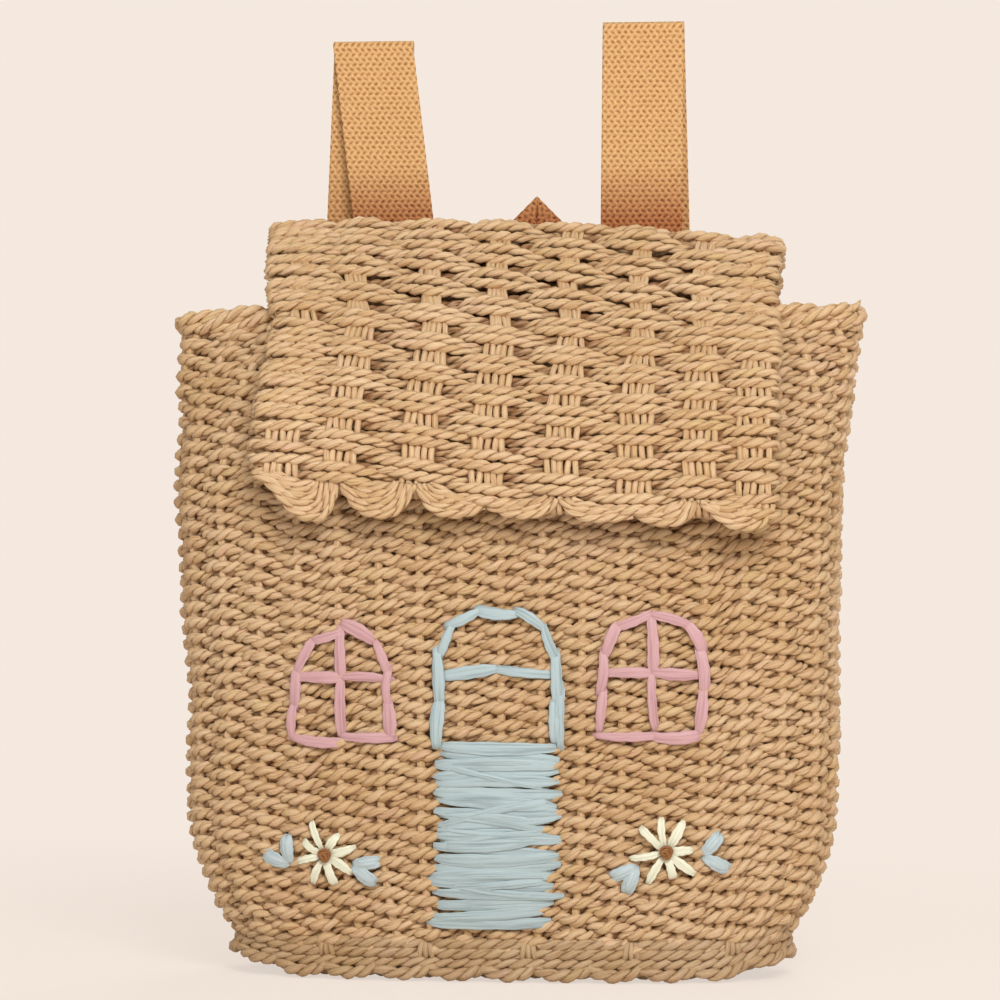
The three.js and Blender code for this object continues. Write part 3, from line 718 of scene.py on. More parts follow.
rimBorder = {
    "count": 38,
    "span": 2.3,
    "middle": 4.5 * mm,
    "radius": 3.3 * mm,
    "from": -50,
    "to": 215,
    "steps": 24,
    "cords": [(1.6, 2.6), (1.6, 5.6), (4.6, 4.0)],  # height and inset, here and for the foot
    "looseEnd": [(118, -1, 236), (121.5, -1.5, 238.4), (123.6, -1.5, 240), (124.4, -1.5, 241.4)],
    "looseRadii": (2, 1.6, 0.9, 0.3),
    "leftDrop": 1.8 * mm,
    "leftStart": 98 * mm,
    "leftRun": 18 * mm,
}
footBorder = {
    "count": 25,
    "span": 1.7,
    "steps": 24,
    "lowest": 2.6 * mm,
    "rise": 6.4 * mm,
    "inset": 5.2 * mm,
    "cords": [(3.2, 6.8), (7.0, 5.6), (6.6, 1.7), (10.2, 0.9), (13.4, 0.9)],
    "knots": 13,
    "knotDip": 2.0 * mm,
    "knotSpread": 2.3 * mm,
    "knotBulge": 1.6 * mm,
    "knotSunk": 2.2 * mm,
    "knotTop": 14.4 * mm,
    "knotDrop": 6.2 * mm,
    "knotRadius": 1.15 * mm,
}
borderCord = {"plies": 2, "turnLength": 11 * mm, "spread": 0.95 * mm, "plyRadius": 1.5 * mm}


def ringCord(level, height, inset, dips=0):  # a closed cord round the wall, drawn in where knots cover it
    shares = np.arange(320) / 320
    line, outward = ringAt(shares, level, inset * mm)
    if level == 0:
        line[:, 2] = height * mm + footLift(line[:, 0])
    else:
        line[:, 2] += height * mm
    dip = np.clip(np.cos(2 * math.pi * shares * footBorder["knots"]), 0, 1) ** 4
    line = line - outward * (dips * footBorder["knotDip"] * dip)[:, None]
    return twisted(line, outward, borderCord, True, height, 1 - 0.2 * dips * dip)


def plaitRim():
    strands = []
    for height, inset in rimBorder["cords"]:
        strands += ringCord(1, height, inset)
    strands.append((np.array(rimBorder["looseEnd"]) * mm, np.array(rimBorder["looseRadii"]) * mm, False))
    for end in range(rimBorder["count"]):
        t = np.linspace(0, 1, rimBorder["steps"])
        shares = (end + wallWeave["stakeShift"] + t * rimBorder["span"]) / rimBorder["count"]
        line, outward = ringAt(shares, 1.0)
        turn = np.radians(rimBorder["from"] + (rimBorder["to"] - rimBorder["from"]) * t)
        line = line + outward * (rimBorder["radius"] * np.cos(turn))[:, None]
        line[:, 2] += rimBorder["middle"] + rimBorder["radius"] * np.sin(turn)
        leftShare = smooth((-line[:, 0] - rimBorder["leftStart"]) / rimBorder["leftRun"])
        line[:, 2] -= rimBorder["leftDrop"] * leftShare
        fullness = 0.8 + 0.2 * np.sin(math.pi * t)
        strands += twisted(line, outward, borderCord, start=end * 0.37, fullness=fullness)
    piece = strandPiece("rim_plait", strands, straw, seed=21)
    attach(piece, "basket")
    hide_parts("rim_border")


def plaitFoot():
    strands = []
    count = footBorder["count"]
    for end in range(count):
        t = np.linspace(0, 1, footBorder["steps"])
        shares = (end + t * footBorder["span"]) / count
        line, outward = ringAt(shares, 0.0, 0.0)
        aside = -footBorder["inset"] + footBorder["inset"] * np.sin(math.pi * t) ** 0.7
        line = line + outward * aside[:, None]
        line[:, 2] = footBorder["lowest"] + footBorder["rise"] * (2 * t - 1) ** 2 + footLift(line[:, 0])
        fullness = 0.75 + 0.3 * np.sin(math.pi * t)
        strands += twisted(line, outward, borderCord, start=end * 0.31, fullness=fullness)
    for height, inset in footBorder["cords"]:
        strands += ringCord(0, height, inset, 1 if height > 10 else 0)
    for knot in range(footBorder["knots"]):
        for part in (-1, 0, 1):
            t = np.linspace(0, 1, 7)
            spread = part * (0.55 + 0.5 * t) * footBorder["knotSpread"]
            middle, outward = ringAt(np.full(7, knot / footBorder["knots"]), 0.0, 0.0)
            along = np.cross(outward, (0, 0, 1.0))
            bulge = footBorder["knotBulge"] * np.sin(math.pi * t) - footBorder["knotSunk"]
            line = middle - along * spread[:, None] + outward * bulge[:, None]
            line[:, 2] = footBorder["knotTop"] - footBorder["knotDrop"] * t + footLift(line[:, 0])
            strands.append((line, footBorder["knotRadius"], False))
    piece = strandPiece("foot_plait", strands, footStrawPaintedShade, seed=22)
    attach(piece, "basket")
    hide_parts("base_border")


baseWeave = {
    "rowPitch": 3.4 * mm,
    "stakePitch": 13 * mm,
    "stakeRadius": 1.5 * mm,
    "step": 2.2 * mm,
    "swing": 1.3 * mm,
    "middle": 3.9 * mm,
    "edge": 1 * mm,
}


def weaveBase():
    low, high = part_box("basket_base")
    strands = []
    depth = high.y - baseWeave["edge"]
    rows = int(2 * depth / baseWeave["rowPitch"])
    power = basket["squareness"]
    for row in range(rows + 1):
        y = -depth + 2 * depth * row / rows
        reach = high.x * (1 - abs(y / high.y) ** power) ** (1 / power)
        x = np.linspace(-reach, reach, max(6, int(2 * reach / baseWeave["step"])))
        wave = overUnder(math.pi * (x / baseWeave["stakePitch"] + row))
        z = baseWeave["middle"] + baseWeave["swing"] * wave + footLift(x)
        line = np.stack([x, np.full_like(x, y), z], 1)
        strands += twisted(line, np.tile((0, 0, 1.0), (len(x), 1)), wallCord, start=row * 0.29, fullness=0.82)
    stakes = int(high.x / baseWeave["stakePitch"])
    for stake in range(-stakes, stakes + 1):
        x = stake * baseWeave["stakePitch"]
        reach = depth * (1 - abs(x / high.x) ** power) ** (1 / power)
        y = np.linspace(-reach, reach, 24)
        line = np.stack([np.full_like(y, x), y, np.full_like(y, baseWeave["middle"] + footLift(x))], 1)
        strands.append((line, baseWeave["stakeRadius"], False))
    piece = strandPiece("base_weave", strands, footStrawPaintedShade, seed=23)
    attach(piece, "basket")
    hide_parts("basket_base")


plaitRim()
plaitFoot()
weaveBase()
print("borders and base plaited")

# Riser, crest and flap: pairs of cords woven over bundles that run up the back, over the crest and down

crestLow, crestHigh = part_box("crest_cord")
flap = {
    "halfWidth": crestHigh.x,
    "riserFoot": (30 * mm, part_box("back_riser")[0].z),
    "crest": ((crestLow.y + crestHigh.y) / 2, (crestLow.z + crestHigh.z) / 2 + 2.2 * mm),
    "rimTop": 231 * mm,
    "standOff": 8.6 * mm,
    "bottom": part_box("flap_panel")[0].z,
    "tilt": 0.042,
    "rowTilts": ((-40, 0), (0, 0), (18, 0.07), (34, 0.1), (62, 0.075), (88, 0.05), (105, 0.038),
                 (125, 0.051)),
    "rowBends": ((0, 0), (30, -0.0003), (62, -0.0006), (100, -0.0008), (125, -0.0009)),
    "crestArch": 2 * mm,
    "archReach": 60 * mm,
    "step": 0.5 * mm,
    "softness": 9 * mm,
    "drapeRuns": (-28, 0, 30, 58, 75, 95, 117),
    "leftDrape": (0, 1, 3, 8.5, 8, 6, 4.7),
    "rightDrape": (0, 2.5, 1, 3.6, 3.5, 4, 4.6),
    "bundles": [x * mm for x in (-81.5, -60.5, -33, -8.5, 17.5, 43.5, 66, 85)],
    "rowRuns": (0, 6.6, 13.4, 19.4, 25.9, 33, 40.3, 47.7, 55, 61.7, 68.3, 75.2, 82, 88.4, 94.5, 100.6,
                106.6, 112.8, 119.1, 124.8),
    "straightPart": 60 * mm,
    "beyondShare": 0.25,
    "topClosed": 9,  # rows below this number have closed edges, and so have those of leftClosed at the left
    "leftClosed": (11, 13, 15),
    "closedStart": 24 * mm,  # from the edge
    "closedRun": 8 * mm,
    "closedWave": 0.75,
    "riserPitch": 4.9 * mm,
    "pairGap": 4.0 * mm,
    "slopeGap": 2.0 * mm,
    "slopeLift": 0.8 * mm,
    "slopeEnd": 40 * mm,
    "slopeRun": 20 * mm,
    "strands": 5,
    "strandPitch": 1.45 * mm,
    "strandRadius": 0.95 * mm,
    "looseStart": 48 * mm,
    "looseRun": 30 * mm,
    "loosePitch": 1.05 * mm,
    "looseRadius": 0.22 * mm,
    "edgeRun": 9 * mm,
    "edgeSpread": 0.4,
    "swing": 1.9 * mm,
    "bundleSwing": 1.2 * mm,
    "hingeReach": 8.5 * mm,
    # the ends of the cords, first as steps beyond the edge and then as depths under it
    "frontEnds": ((1.5, 2.6, 2.9, 1.6, -2.5), (-0.3, -1.4, -2.9, -4.2, -4.6)),
    "backEnds": ((0.6, 0.9, 0.9, 0.4, -0.5), (-0.2, -0.5, -0.9, -1.4, -1.8)),
    # straight cords inside the riser: shares of its pitch, and depths
    "innerCords": ((0.5, -1.2), (0, -3.4), (-0.5, -2)),
}


def flapRoute():  # the middle surface's side view, as points of (run, y, z) and outward directions
    hang = np.linspace(flap["rimTop"], flap["bottom"] - 16 * mm, 16)
    corners = [flap["riserFoot"], flap["crest"], *zip(-frontDepth(hang) - flap["standOff"], hang)]
    corners = np.array(corners)
    run = runAlong(corners)
    even = np.arange(0, run[-1], flap["step"])
    route = np.stack([np.interp(even, run, corners[:, 0]), np.interp(even, run, corners[:, 1])], 1)
    reach = int(flap["softness"] / flap["step"] / 2)
    padded = np.concatenate([route[:1] + (route[:1] - route[reach:0:-1]), route,
                             route[-1:] + (route[-1:] - route[-2:-reach - 2:-1])])
    kernel = np.hanning(2 * reach + 3)[1:-1]
    kernel = kernel / kernel.sum()
    soft = np.stack([np.convolve(padded[:, axis], kernel, "valid") for axis in (0, 1)], 1)
    along = unit(np.gradient(soft, axis=0))
    outward = np.stack([along[:, 1], -along[:, 0]], 1)
    crestRun = even[np.argmax(soft[:, 1])]
    footRun = even[np.argmin(np.abs(soft[:, 1] - flap["bottom"]) + (even < crestRun))]
    return even, soft, outward, crestRun, footRun


flapRun, flapSoft, flapOut, crestRun, flapFoot = flapRoute()


def onFlap(x, run, out):
    y, z = [np.interp(run, flapRun, flapSoft[:, axis]) for axis in (0, 1)]
    outY, outZ = [np.interp(run, flapRun, flapOut[:, axis]) for axis in (0, 1)]
    z = z - flap["tilt"] * x * np.clip(run / crestRun, 0, 1)
    arch = np.clip(1 - np.abs(run - crestRun) / flap["archReach"], 0, 1)
    z = z + flap["crestArch"] * arch * (1 - 2 * (x / flap["halfWidth"]) ** 2)
    left, right = [np.interp((run - crestRun) / mm, flap["drapeRuns"], flap[side + "Drape"]) * mm
                   for side in ("left", "right")]
    x = x + left + (right - left) * (x / flap["halfWidth"] + 1) / 2
    return np.stack([x, y + out * outY, z + out * outZ], 1), np.stack([np.zeros_like(x), outY, outZ], 1)


def bundleIndex(x):  # 0 on the first bundle, 1 on the second and so on
    places = np.array(flap["bundles"])
    stretched = np.concatenate([[2 * places[0] - places[1]], places, [2 * places[-1] - places[-2]]])
    return np.interp(x, stretched, np.arange(-1, len(places) + 1))


def tilted(x, run):  # the rows climb a little across the flap, and more so at the left
    beyond = (run - crestRun) / mm
    beyondPart = flap["beyondShare"] * (np.abs(x) - flap["straightPart"])
    x = np.sign(x) * np.minimum(np.abs(x), flap["straightPart"] + beyondPart)
    tilt, bend = [np.interp(beyond, *np.array(flap[name]).T) for name in ("rowTilts", "rowBends")]
    return run + tilt * x + bend * x ** 2 / mm


def pairRows():  # (number, run) of each pair of cords, 0 on the crest and negative down the riser
    rows = [(row, crestRun + run * mm) for row, run in enumerate(flap["rowRuns"])]
    for row in range(1, int((crestRun - 3 * mm) / flap["riserPitch"]) + 1):
        rows.insert(0, (-row, crestRun - row * flap["riserPitch"]))
    return rows


def pairCords(run, row, rng):
    half = flap["halfWidth"] - 3 * mm
    x = np.linspace(-half, half, 106)
    wave = overUnder(math.pi * (bundleIndex(x) + row))
    shares = (x + half) / (2 * half)
    nearEdge = smooth((np.abs(x) - half + flap["edgeRun"]) / flap["edgeRun"]) * (wave > 0)
    closed = (x < 0) & (row in flap["leftClosed"]) | (0 < row < flap["topClosed"])
    hidden = smooth((np.abs(x) - half + flap["closedStart"]) / flap["closedRun"]) * closed
    wave = np.maximum(wave, flap["closedWave"] * hidden - 1 * (hidden == 0))
    slope = 1 - smooth((run - crestRun - flap["slopeEnd"]) / flap["slopeRun"])
    gap = flap["pairGap"] + flap["slopeGap"] * slope * np.clip(wave, 0, 1)
    behind = slope * np.clip(-wave, 0, 1)
    squeeze = 0.78 + 0.22 * np.abs(wave) - 0.25 * behind
    cords = []
    for place in (-1, 1):
        out = flap["swing"] * wave - flap["slopeLift"] * behind + 0.15 * mm * wander(rng, shares, 9)
        spread = place * gap / 2 * (squeeze + flap["edgeSpread"] * nearEdge)
        route = tilted(x, run) + spread + 0.3 * mm * wander(rng, shares, 6)
        ends = []
        for side in (0, -1):
            beyond, depth = np.array(flap["frontEnds" if wave[side] > 0 else "backEnds"]) * mm
            beyond = math.copysign(1, x[side]) * beyond
            places = (x[side] + beyond, np.full(5, route[side]), out[side] + depth)
            ends.append([part[::-1] if side == 0 else part for part in places])
        parts = [np.concatenate([ends[0][i], part, ends[1][i]]) for i, part in enumerate((x, route, out))]
        line, outward = onFlap(*parts)
        front = np.concatenate([np.full(5, wave[0]), wave, np.full(5, wave[-1])])
        fullness = 0.78 + 0.18 * np.abs(front) + 0.1 * np.clip(front, 0, 1)
        # painted shade on the parts of the pair cords that go behind the bundles
        shade = 0.1 + 0.9 * smooth((front + 1) / 1.2)
        cords += twisted(line, outward, flapCord, start=rng.random(), fullness=fullness, shade=shade)
    if run < crestRun - 2 * mm:  # straight cords inside keep the riser closed; their front side gets painted shade so the gaps read dark
        inner = np.linspace(-half + 0.5 * mm, half - 0.5 * mm, 100)
        for place, out in flap["innerCords"]:
            place = run + place * flap["riserPitch"]
            line, outward = onFlap(inner, np.full(100, place), np.full(100, out * mm))
            cords += twisted(line, -outward, flapCord, start=rng.random(), fullness=0.9, shade=0.25)
    return cords


def bundleStrands(rows, rng):
    strands = []
    numbers = [row for row, run in rows]
    runs = [run for row, run in rows]
    even = np.linspace(numbers[0] - 0.8, numbers[-1] + 0.8, (len(rows) + 1) * 3)
    run = np.interp(even, [numbers[0] - 1, *numbers, numbers[-1] + 1], [0, *runs, runs[-1] + 5 * mm])
    loose = smooth((run - crestRun - flap["looseStart"]) / flap["looseRun"])
    loose = loose + smooth((crestRun - 6 * mm - run) / (10 * mm))
    for index, place in enumerate(flap["bundles"]):
        wave = -np.cos(math.pi * (index + even))
        for strand in range(flap["strands"]):
            wobble = 0.35 * mm * np.sin(even * (1.7 + rng.random()) + 6 * rng.random())
            pitch = flap["strandPitch"] + flap["loosePitch"] * loose
            x = place + (strand - (flap["strands"] - 1) / 2) * pitch + wobble
            line, outward = onFlap(x, tilted(place, run), flap["bundleSwing"] * wave)
            strands.append((line, flap["strandRadius"] + flap["looseRadius"] * loose, False))
    return strands


fringeCord = {"plies": 2, "turnLength": 11 * mm, "spread": 0.66 * mm, "plyRadius": 1.16 * mm}
fringe = {
    "heights": (164.2, 165, 165.2, 164.9, 163.6, 162.2, 160.8),
    "lateness": (2.1, 1.1, 1, 1, 1, 1, 1.5),
    "most": 6,
    "nest": 2.3 * mm,
    "gap": 1.6 * mm,
    "bend": 2.5,
    "frontOut": 0.4 * mm,
    "backOut": 2.2 * mm,
    "bulge": 0.9 * mm,
}


def runAt(x, height):  # where the hanging part of the flap reaches a height
    hanging = flapRun > crestRun
    return np.interp(-height - flap["tilt"] * x, -flapSoft[hanging, 1], flapRun[hanging])


def flapFringe(rows, rng):  # scalloped lower edge: strands loop across from one bundle to the next
    strands = []
    edge = flap["halfWidth"] - 1 * mm
    lastRow, lastRun = rows[-1]
    ends = [(-edge, tilted(-edge, lastRun) + 3 * mm, fringe["frontOut"])]
    for index, place in list(enumerate(flap["bundles"]))[1:-1]:
        front = math.cos(math.pi * (index + lastRow)) > 0
        drop, out = (3.6 * mm, fringe["frontOut"]) if front else (-0.6 * mm, fringe["backOut"])
        ends.append((place, tilted(place, lastRun) + drop, out))
    ends.append((edge, tilted(edge, lastRun) - 1 * mm, fringe["frontOut"]))
    for index in range(len(ends) - 1):
        (left, leftRun, leftOut), (right, rightRun, rightOut) = ends[index:index + 2]
        low = runAt((left + right) / 2, fringe["heights"][index] * mm)
        count = 1 + int((low - min(leftRun, rightRun)) / fringe["nest"])
        for strand in range(min(count, fringe["most"])):
            t = np.linspace(0, 1, 30)
            inner = (0.5 + rng.random() * 0.4) * mm + fringe["gap"] * strand
            start, stop = left + inner, right - inner
            if stop - start < 3 * mm:
                continue
            x = start + (stop - start) * t
            high = leftRun + (rightRun - leftRun) * t
            late = t ** fringe["lateness"][index]
            hang = 1 - np.abs(2 * late - 1) ** (fringe["bend"] + 0.5 * rng.random())
            run = high + np.maximum(low - fringe["nest"] * strand - high, 0.5 * mm) * hang
            out = leftOut + (rightOut - leftOut) * t + fringe["bulge"] * np.sin(math.pi * t)
            line, outward = onFlap(x, run, out)
            fullness = 0.85 + 0.2 * np.sin(math.pi * t)
            strands += twisted(line, outward, fringeCord, start=rng.random(), fullness=fullness)
    return strands


def weaveFlap():
    rng = np.random.default_rng(31)
    rows = pairRows()
    riser, hinge, hanging = [], [], []
    for row, run in rows:
        if run < crestRun - flap["hingeReach"]:
            group = riser
        elif run > crestRun + flap["hingeReach"]:
            group = hanging
        else:
            group = hinge
        group += pairCords(run, row, rng)
    hinge += bundleStrands(rows, rng)
    pieces = [
        ("riser_weave", riser, "back_riser", "basket"),
        ("flap_weave", hanging, "flap_panel", "flap"),
        ("flap_fringe", flapFringe(rows, rng), "flap_border", "flap"),
    ]
    for name, strands, node, body in pieces:
        piece = strandPiece(name, strands, straw, seed=len(name))
        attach(piece, body)
        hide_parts(node)
    piece = strandPiece("hinge_weave", hinge, straw, seed=33)
    reach = np.array([crestRun - flap["hingeReach"], crestRun + flap["hingeReach"]])
    ends = onFlap(np.zeros(2), reach, np.zeros(2))[0]
    tuple(ends[0])
    tuple(ends[1])
    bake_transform(piece)
    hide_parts("crest_cord")


weaveFlap()
print("riser, crest and flap woven")

# Webbing straps

sideways = np.array([1.0, 0, 0])


def ribbonPiece(name, route, width=webbingLook["width"]):  # a woven band along a route, from side to side
    bm = bmesh.new()
    run = runAlong(route)
    columns = 2 * round(width / webbingLook["endPitch"])
    rows = max(2, 2 * round(run[-1] / webbingLook["rowPitch"]))
    made = bmesh.ops.create_grid(bm, x_segments=columns, y_segments=rows, size=1, calc_uvs=True)["verts"]
    flat = np.array([vert.co for vert in made])
    u = flat[:, 0] * width / 2
    v = (flat[:, 1] + 1) / 2 * run[-1]
    outward = unit(np.cross(sideways, unit(np.gradient(route, axis=0))))
    places = np.stack([np.interp(v, run, route[:, axis]) for axis in range(3)], 1)
    normals = unit(np.stack([np.interp(v, run, outward[:, axis]) for axis in range(3)], 1))
    edge = np.clip((width / 2 - np.abs(u)) / webbingLook["endPitch"], 0, 1)
    relief = webbingHeight(u, v) * webbingLook["relief"] * edge
    places = places + np.outer(u, sideways) + normals * (relief + webbingLook["thickness"] / 2)[:, None]
    for vert, place in zip(made, places):
        vert.co = place
    smoothFaces(bm, dict(zip(made, np.stack([u, v], 1))))
    return thicken(link(name, meshFrom(bm, name), webbing))


def thicken(piece):
    solidify = piece.modifiers.new("thickness", "SOLIDIFY")
    solidify.thickness = webbingLook["thickness"]
    solidify.offset = -1
    return piece


straps = {
    "left": {
        "seam": (-45.5, 37.4, 236),
        "fold": (-58.5, 44.9, 340.3),
        "bend": (-67.6, 52.4, 152),
        "foot": (-68, 44.9, 50),
    },
    "right": {
        "seam": (42, 37.5, 236),
        "fold": (42.5, 45, 346.3),
        "bend": (46.8, 53.3, 158),
        "foot": (52, 45.8, 50),
    },
    "foldRadius": 1.3 * mm,
    "seamDrop": 27 * mm,
    "rootShare": 0.16,  # of the front length, made in one piece with the seam
    "tailShare": 0.14,
}


def between(first, second, count):
    return first + (second - first) * np.linspace(0, 1, count)[:, None]


def sewnRoute(line, drop):  # a sewn end lies on the back wall below its turning line
    z = np.linspace(line[2] - drop, line[2], 12)
    lean = backDepth(np.minimum(line[2], basket["top"])) - backDepth(np.minimum(z, basket["top"]))
    return np.stack([np.full_like(z, line[0]), line[1] - lean, z], 1)


def addStrap(side):
    spots = {name: np.array(value) * mm for name, value in straps[side].items()}
    seam, fold, bend = spots["seam"], spots["fold"], spots["bend"]
    radius = straps["foldRadius"]
    frontTop, backTop = fold - (0, radius, radius), fold - (0, -radius, radius)
    rootSplit = seam + (frontTop - seam) * straps["rootShare"]
    tailSplit = bend + (backTop - bend) * straps["tailShare"]
    turn = np.linspace(math.pi, 0, 7)
    arc = np.stack([np.zeros(7), radius * np.cos(turn), radius * np.sin(turn)], 1) + fold - (0, 0, radius)
    upper = np.concatenate([between(rootSplit, frontTop, 40)[:-1], arc, between(backTop, tailSplit, 60)[1:]])
    root = np.concatenate([sewnRoute(seam, straps["seamDrop"]), between(seam, rootSplit, 8)[1:]])
    lower = np.concatenate([between(tailSplit, bend, 10)[:-1], between(bend, spots["foot"], 50)])

    piece = ribbonPiece(side + "_strap_upper", upper)
    tuple(frontTop)
    tuple(backTop)
    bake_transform(piece)
    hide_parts(side + "_strap_front_ply", side + "_strap_back_ply")
    piece = ribbonPiece(side + "_strap_root", root)
    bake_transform(piece)
    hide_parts(side + "_strap_top_seam")
    piece = ribbonPiece(side + "_strap_lower", lower)
    start, end = tuple(bend + (0, 0, 6 * mm)), tuple(bend - (0, 0, 6 * mm))
    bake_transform(piece)
    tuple(start)
    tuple(end)
    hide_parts(side + "_strap_tail")
    piece = ribbonPiece(side + "_strap_foot", sewnRoute(spots["foot"], straps["seamDrop"])[::-1])
    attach(piece, "basket")
    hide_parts(side + "_strap_foot_seam")


for side in ("left", "right"):
    addStrap(side)
print("straps sewn")

# Seams, hang loop and metal

hangLoop = {
    "x": 4 * mm,
    "halfWidth": 22 * mm,
    "holeHalfWidth": 6 * mm,
    "holeHeight": 14 * mm,
    "peak": 282 * mm,
    "pivot": 245.8 * mm,
    "depth": 36 * mm,
    "seamDrop": 15 * mm,
    "legReach": 30 * mm,
}


def hangLoopLeg(bm, side):  # one leg of the loop: webbing that climbs at 45 degrees to the mitred peak
    foot, peak = hangLoop["pivot"], hangLoop["peak"]
    reach = hangLoop["legReach"]
    cells = 2 * round(2 * reach / webbingLook["endPitch"] / 2)
    made = bmesh.ops.create_grid(bm, x_segments=cells, y_segments=cells, size=reach, calc_uvs=True)["verts"]
    smoothFaces(bm, {vert: vert.co.xy for vert in made})
    for vert in made:
        u, v = vert.co.x, vert.co.y
        relief = float(webbingHeight(u, v)) * webbingLook["relief"]
        vert.co = (side * (u - v) / math.sqrt(2), -relief, (u + v) / math.sqrt(2) + foot + 10 * mm)
    holeEdge = Vector((hangLoop["holeHeight"], 0, hangLoop["holeHalfWidth"])).normalized()
    cuts = [
        ((0, 0, 0), (-side, 0, 0)),
        ((side * hangLoop["halfWidth"], 0, 0), (side, 0, 0)),
        ((0, 0, foot), (0, 0, -1)),
        ((0, 0, peak), (side, 0, 1)),
        ((0, 0, foot + hangLoop["holeHeight"]), (-side * holeEdge.x, 0, -holeEdge.z)),
    ]
    for place, away in cuts:
        parts = bm.verts[:] + bm.edges[:] + bm.faces[:]
        bmesh.ops.bisect_plane(bm, geom=parts, plane_co=place, plane_no=away, clear_outer=True)
    bmesh.ops.translate(bm, verts=bm.verts, vec=(hangLoop["x"], hangLoop["depth"] - 0.9 * mm, 0))


def addHangLoop():
    bm = bmesh.new()
    for side in (-1, 1):
        leg = bmesh.new()
        hangLoopLeg(leg, side)
        mesh = meshFrom(leg, "leg")
        bm.from_mesh(mesh)
        bpy.data.meshes.remove(mesh)
    piece = thicken(link("loop_webbing", meshFrom(bm, "loop_webbing"), webbing))
    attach(piece, "hang_loop")
    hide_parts("hang_loop")
    z = np.linspace(hangLoop["pivot"] - hangLoop["seamDrop"], hangLoop["pivot"] + 1 * mm, 14)
    depth = hangLoop["depth"] - backDepth(basket["top"]) + backDepth(np.minimum(z, basket["top"]))
    route = np.stack([np.full_like(z, hangLoop["x"]), depth, z], 1)
    piece = ribbonPiece("loop_root", route, 2 * hangLoop["halfWidth"])
    middle = np.array([hangLoop["x"], hangLoop["depth"], hangLoop["pivot"]])
    start, end = tuple(middle - (0, 0, 2 * mm)), tuple(middle + (0, 0, 2 * mm))
    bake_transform(piece)
    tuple(start)
    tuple(end)
    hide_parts("hang_loop_seam")


seamStitch = {"length": 2.3 * mm, "gap": 0.9 * mm, "radius": 0.35 * mm, "lift": 1.25 * mm, "inset": 3 * mm}


def stitchLine(start, stop):
    length = np.linalg.norm(stop - start)
    count = max(1, round(length / (seamStitch["length"] + seamStitch["gap"])))
    for part in range(count):
        t = (part + 0.5 + np.array([-0.36, -0.18, 0.18, 0.36])) / count
        line = start + (stop - start) * t[:, None]
        line[:, 1] += seamStitch["lift"] - seamStitch["radius"] * np.array([1.4, 0, 0, 1.4])
        yield line, seamStitch["radius"], False


def sewSeams():  # a box with a cross on every sewn end
    strands = []
    seams = [(spots, straps["seamDrop"], webbingLook["width"] / 2) for side in ("left", "right")
             for spots in (straps[side]["seam"], straps[side]["foot"])]
    seams.append((np.array([hangLoop["x"], hangLoop["depth"], hangLoop["pivot"]]) / mm - (0, 0, 2),
                  hangLoop["seamDrop"] - 2 * mm, hangLoop["halfWidth"]))
    for spots, drop, half in seams:
        route = sewnRoute(np.array(spots) * mm, drop)
        low, high = route[0] + (0, 0, seamStitch["inset"]), route[-1] - (0, 0, seamStitch["inset"])
        wide = np.array([half - seamStitch["inset"], 0, 0])
        corners = [low - wide, low + wide, high + wide, high - wide]
        for start, stop in ((0, 1), (1, 2), (2, 3), (3, 0), (0, 2), (1, 3)):
            strands += list(stitchLine(corners[start], corners[stop]))
    piece = strandPiece("seam_stitches", strands, thread, seed=41)
    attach(piece, "basket")


addHangLoop()
sewSeams()
for name in ("snap_stud", "snap_socket", "left_slide_adjuster", "right_slide_adjuster"):
    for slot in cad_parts[name].material_slots:
        slot.material = brass
print("hang loop, seams and metal ready")

# Raffia embroidery on the front wall

stitchLook = {
    "width": 4.1 * mm,
    "thickness": 0.75 * mm,
    "ridge": 0.08 * mm,
    "sides": 22,
    "steps": 14,
    "proud": 0.5 * mm,
    "sunk": 2.4 * mm,
}


def wallNormal(x, z):
    step = 0.5 * mm
    across = (frontWall(x + step, z) - frontWall(x - step, z)) / (2 * step)
    rise = (frontWall(x, z + step) - frontWall(x, z - step)) / (2 * step)
    return unit(np.stack([across, -np.ones_like(x), rise], -1))


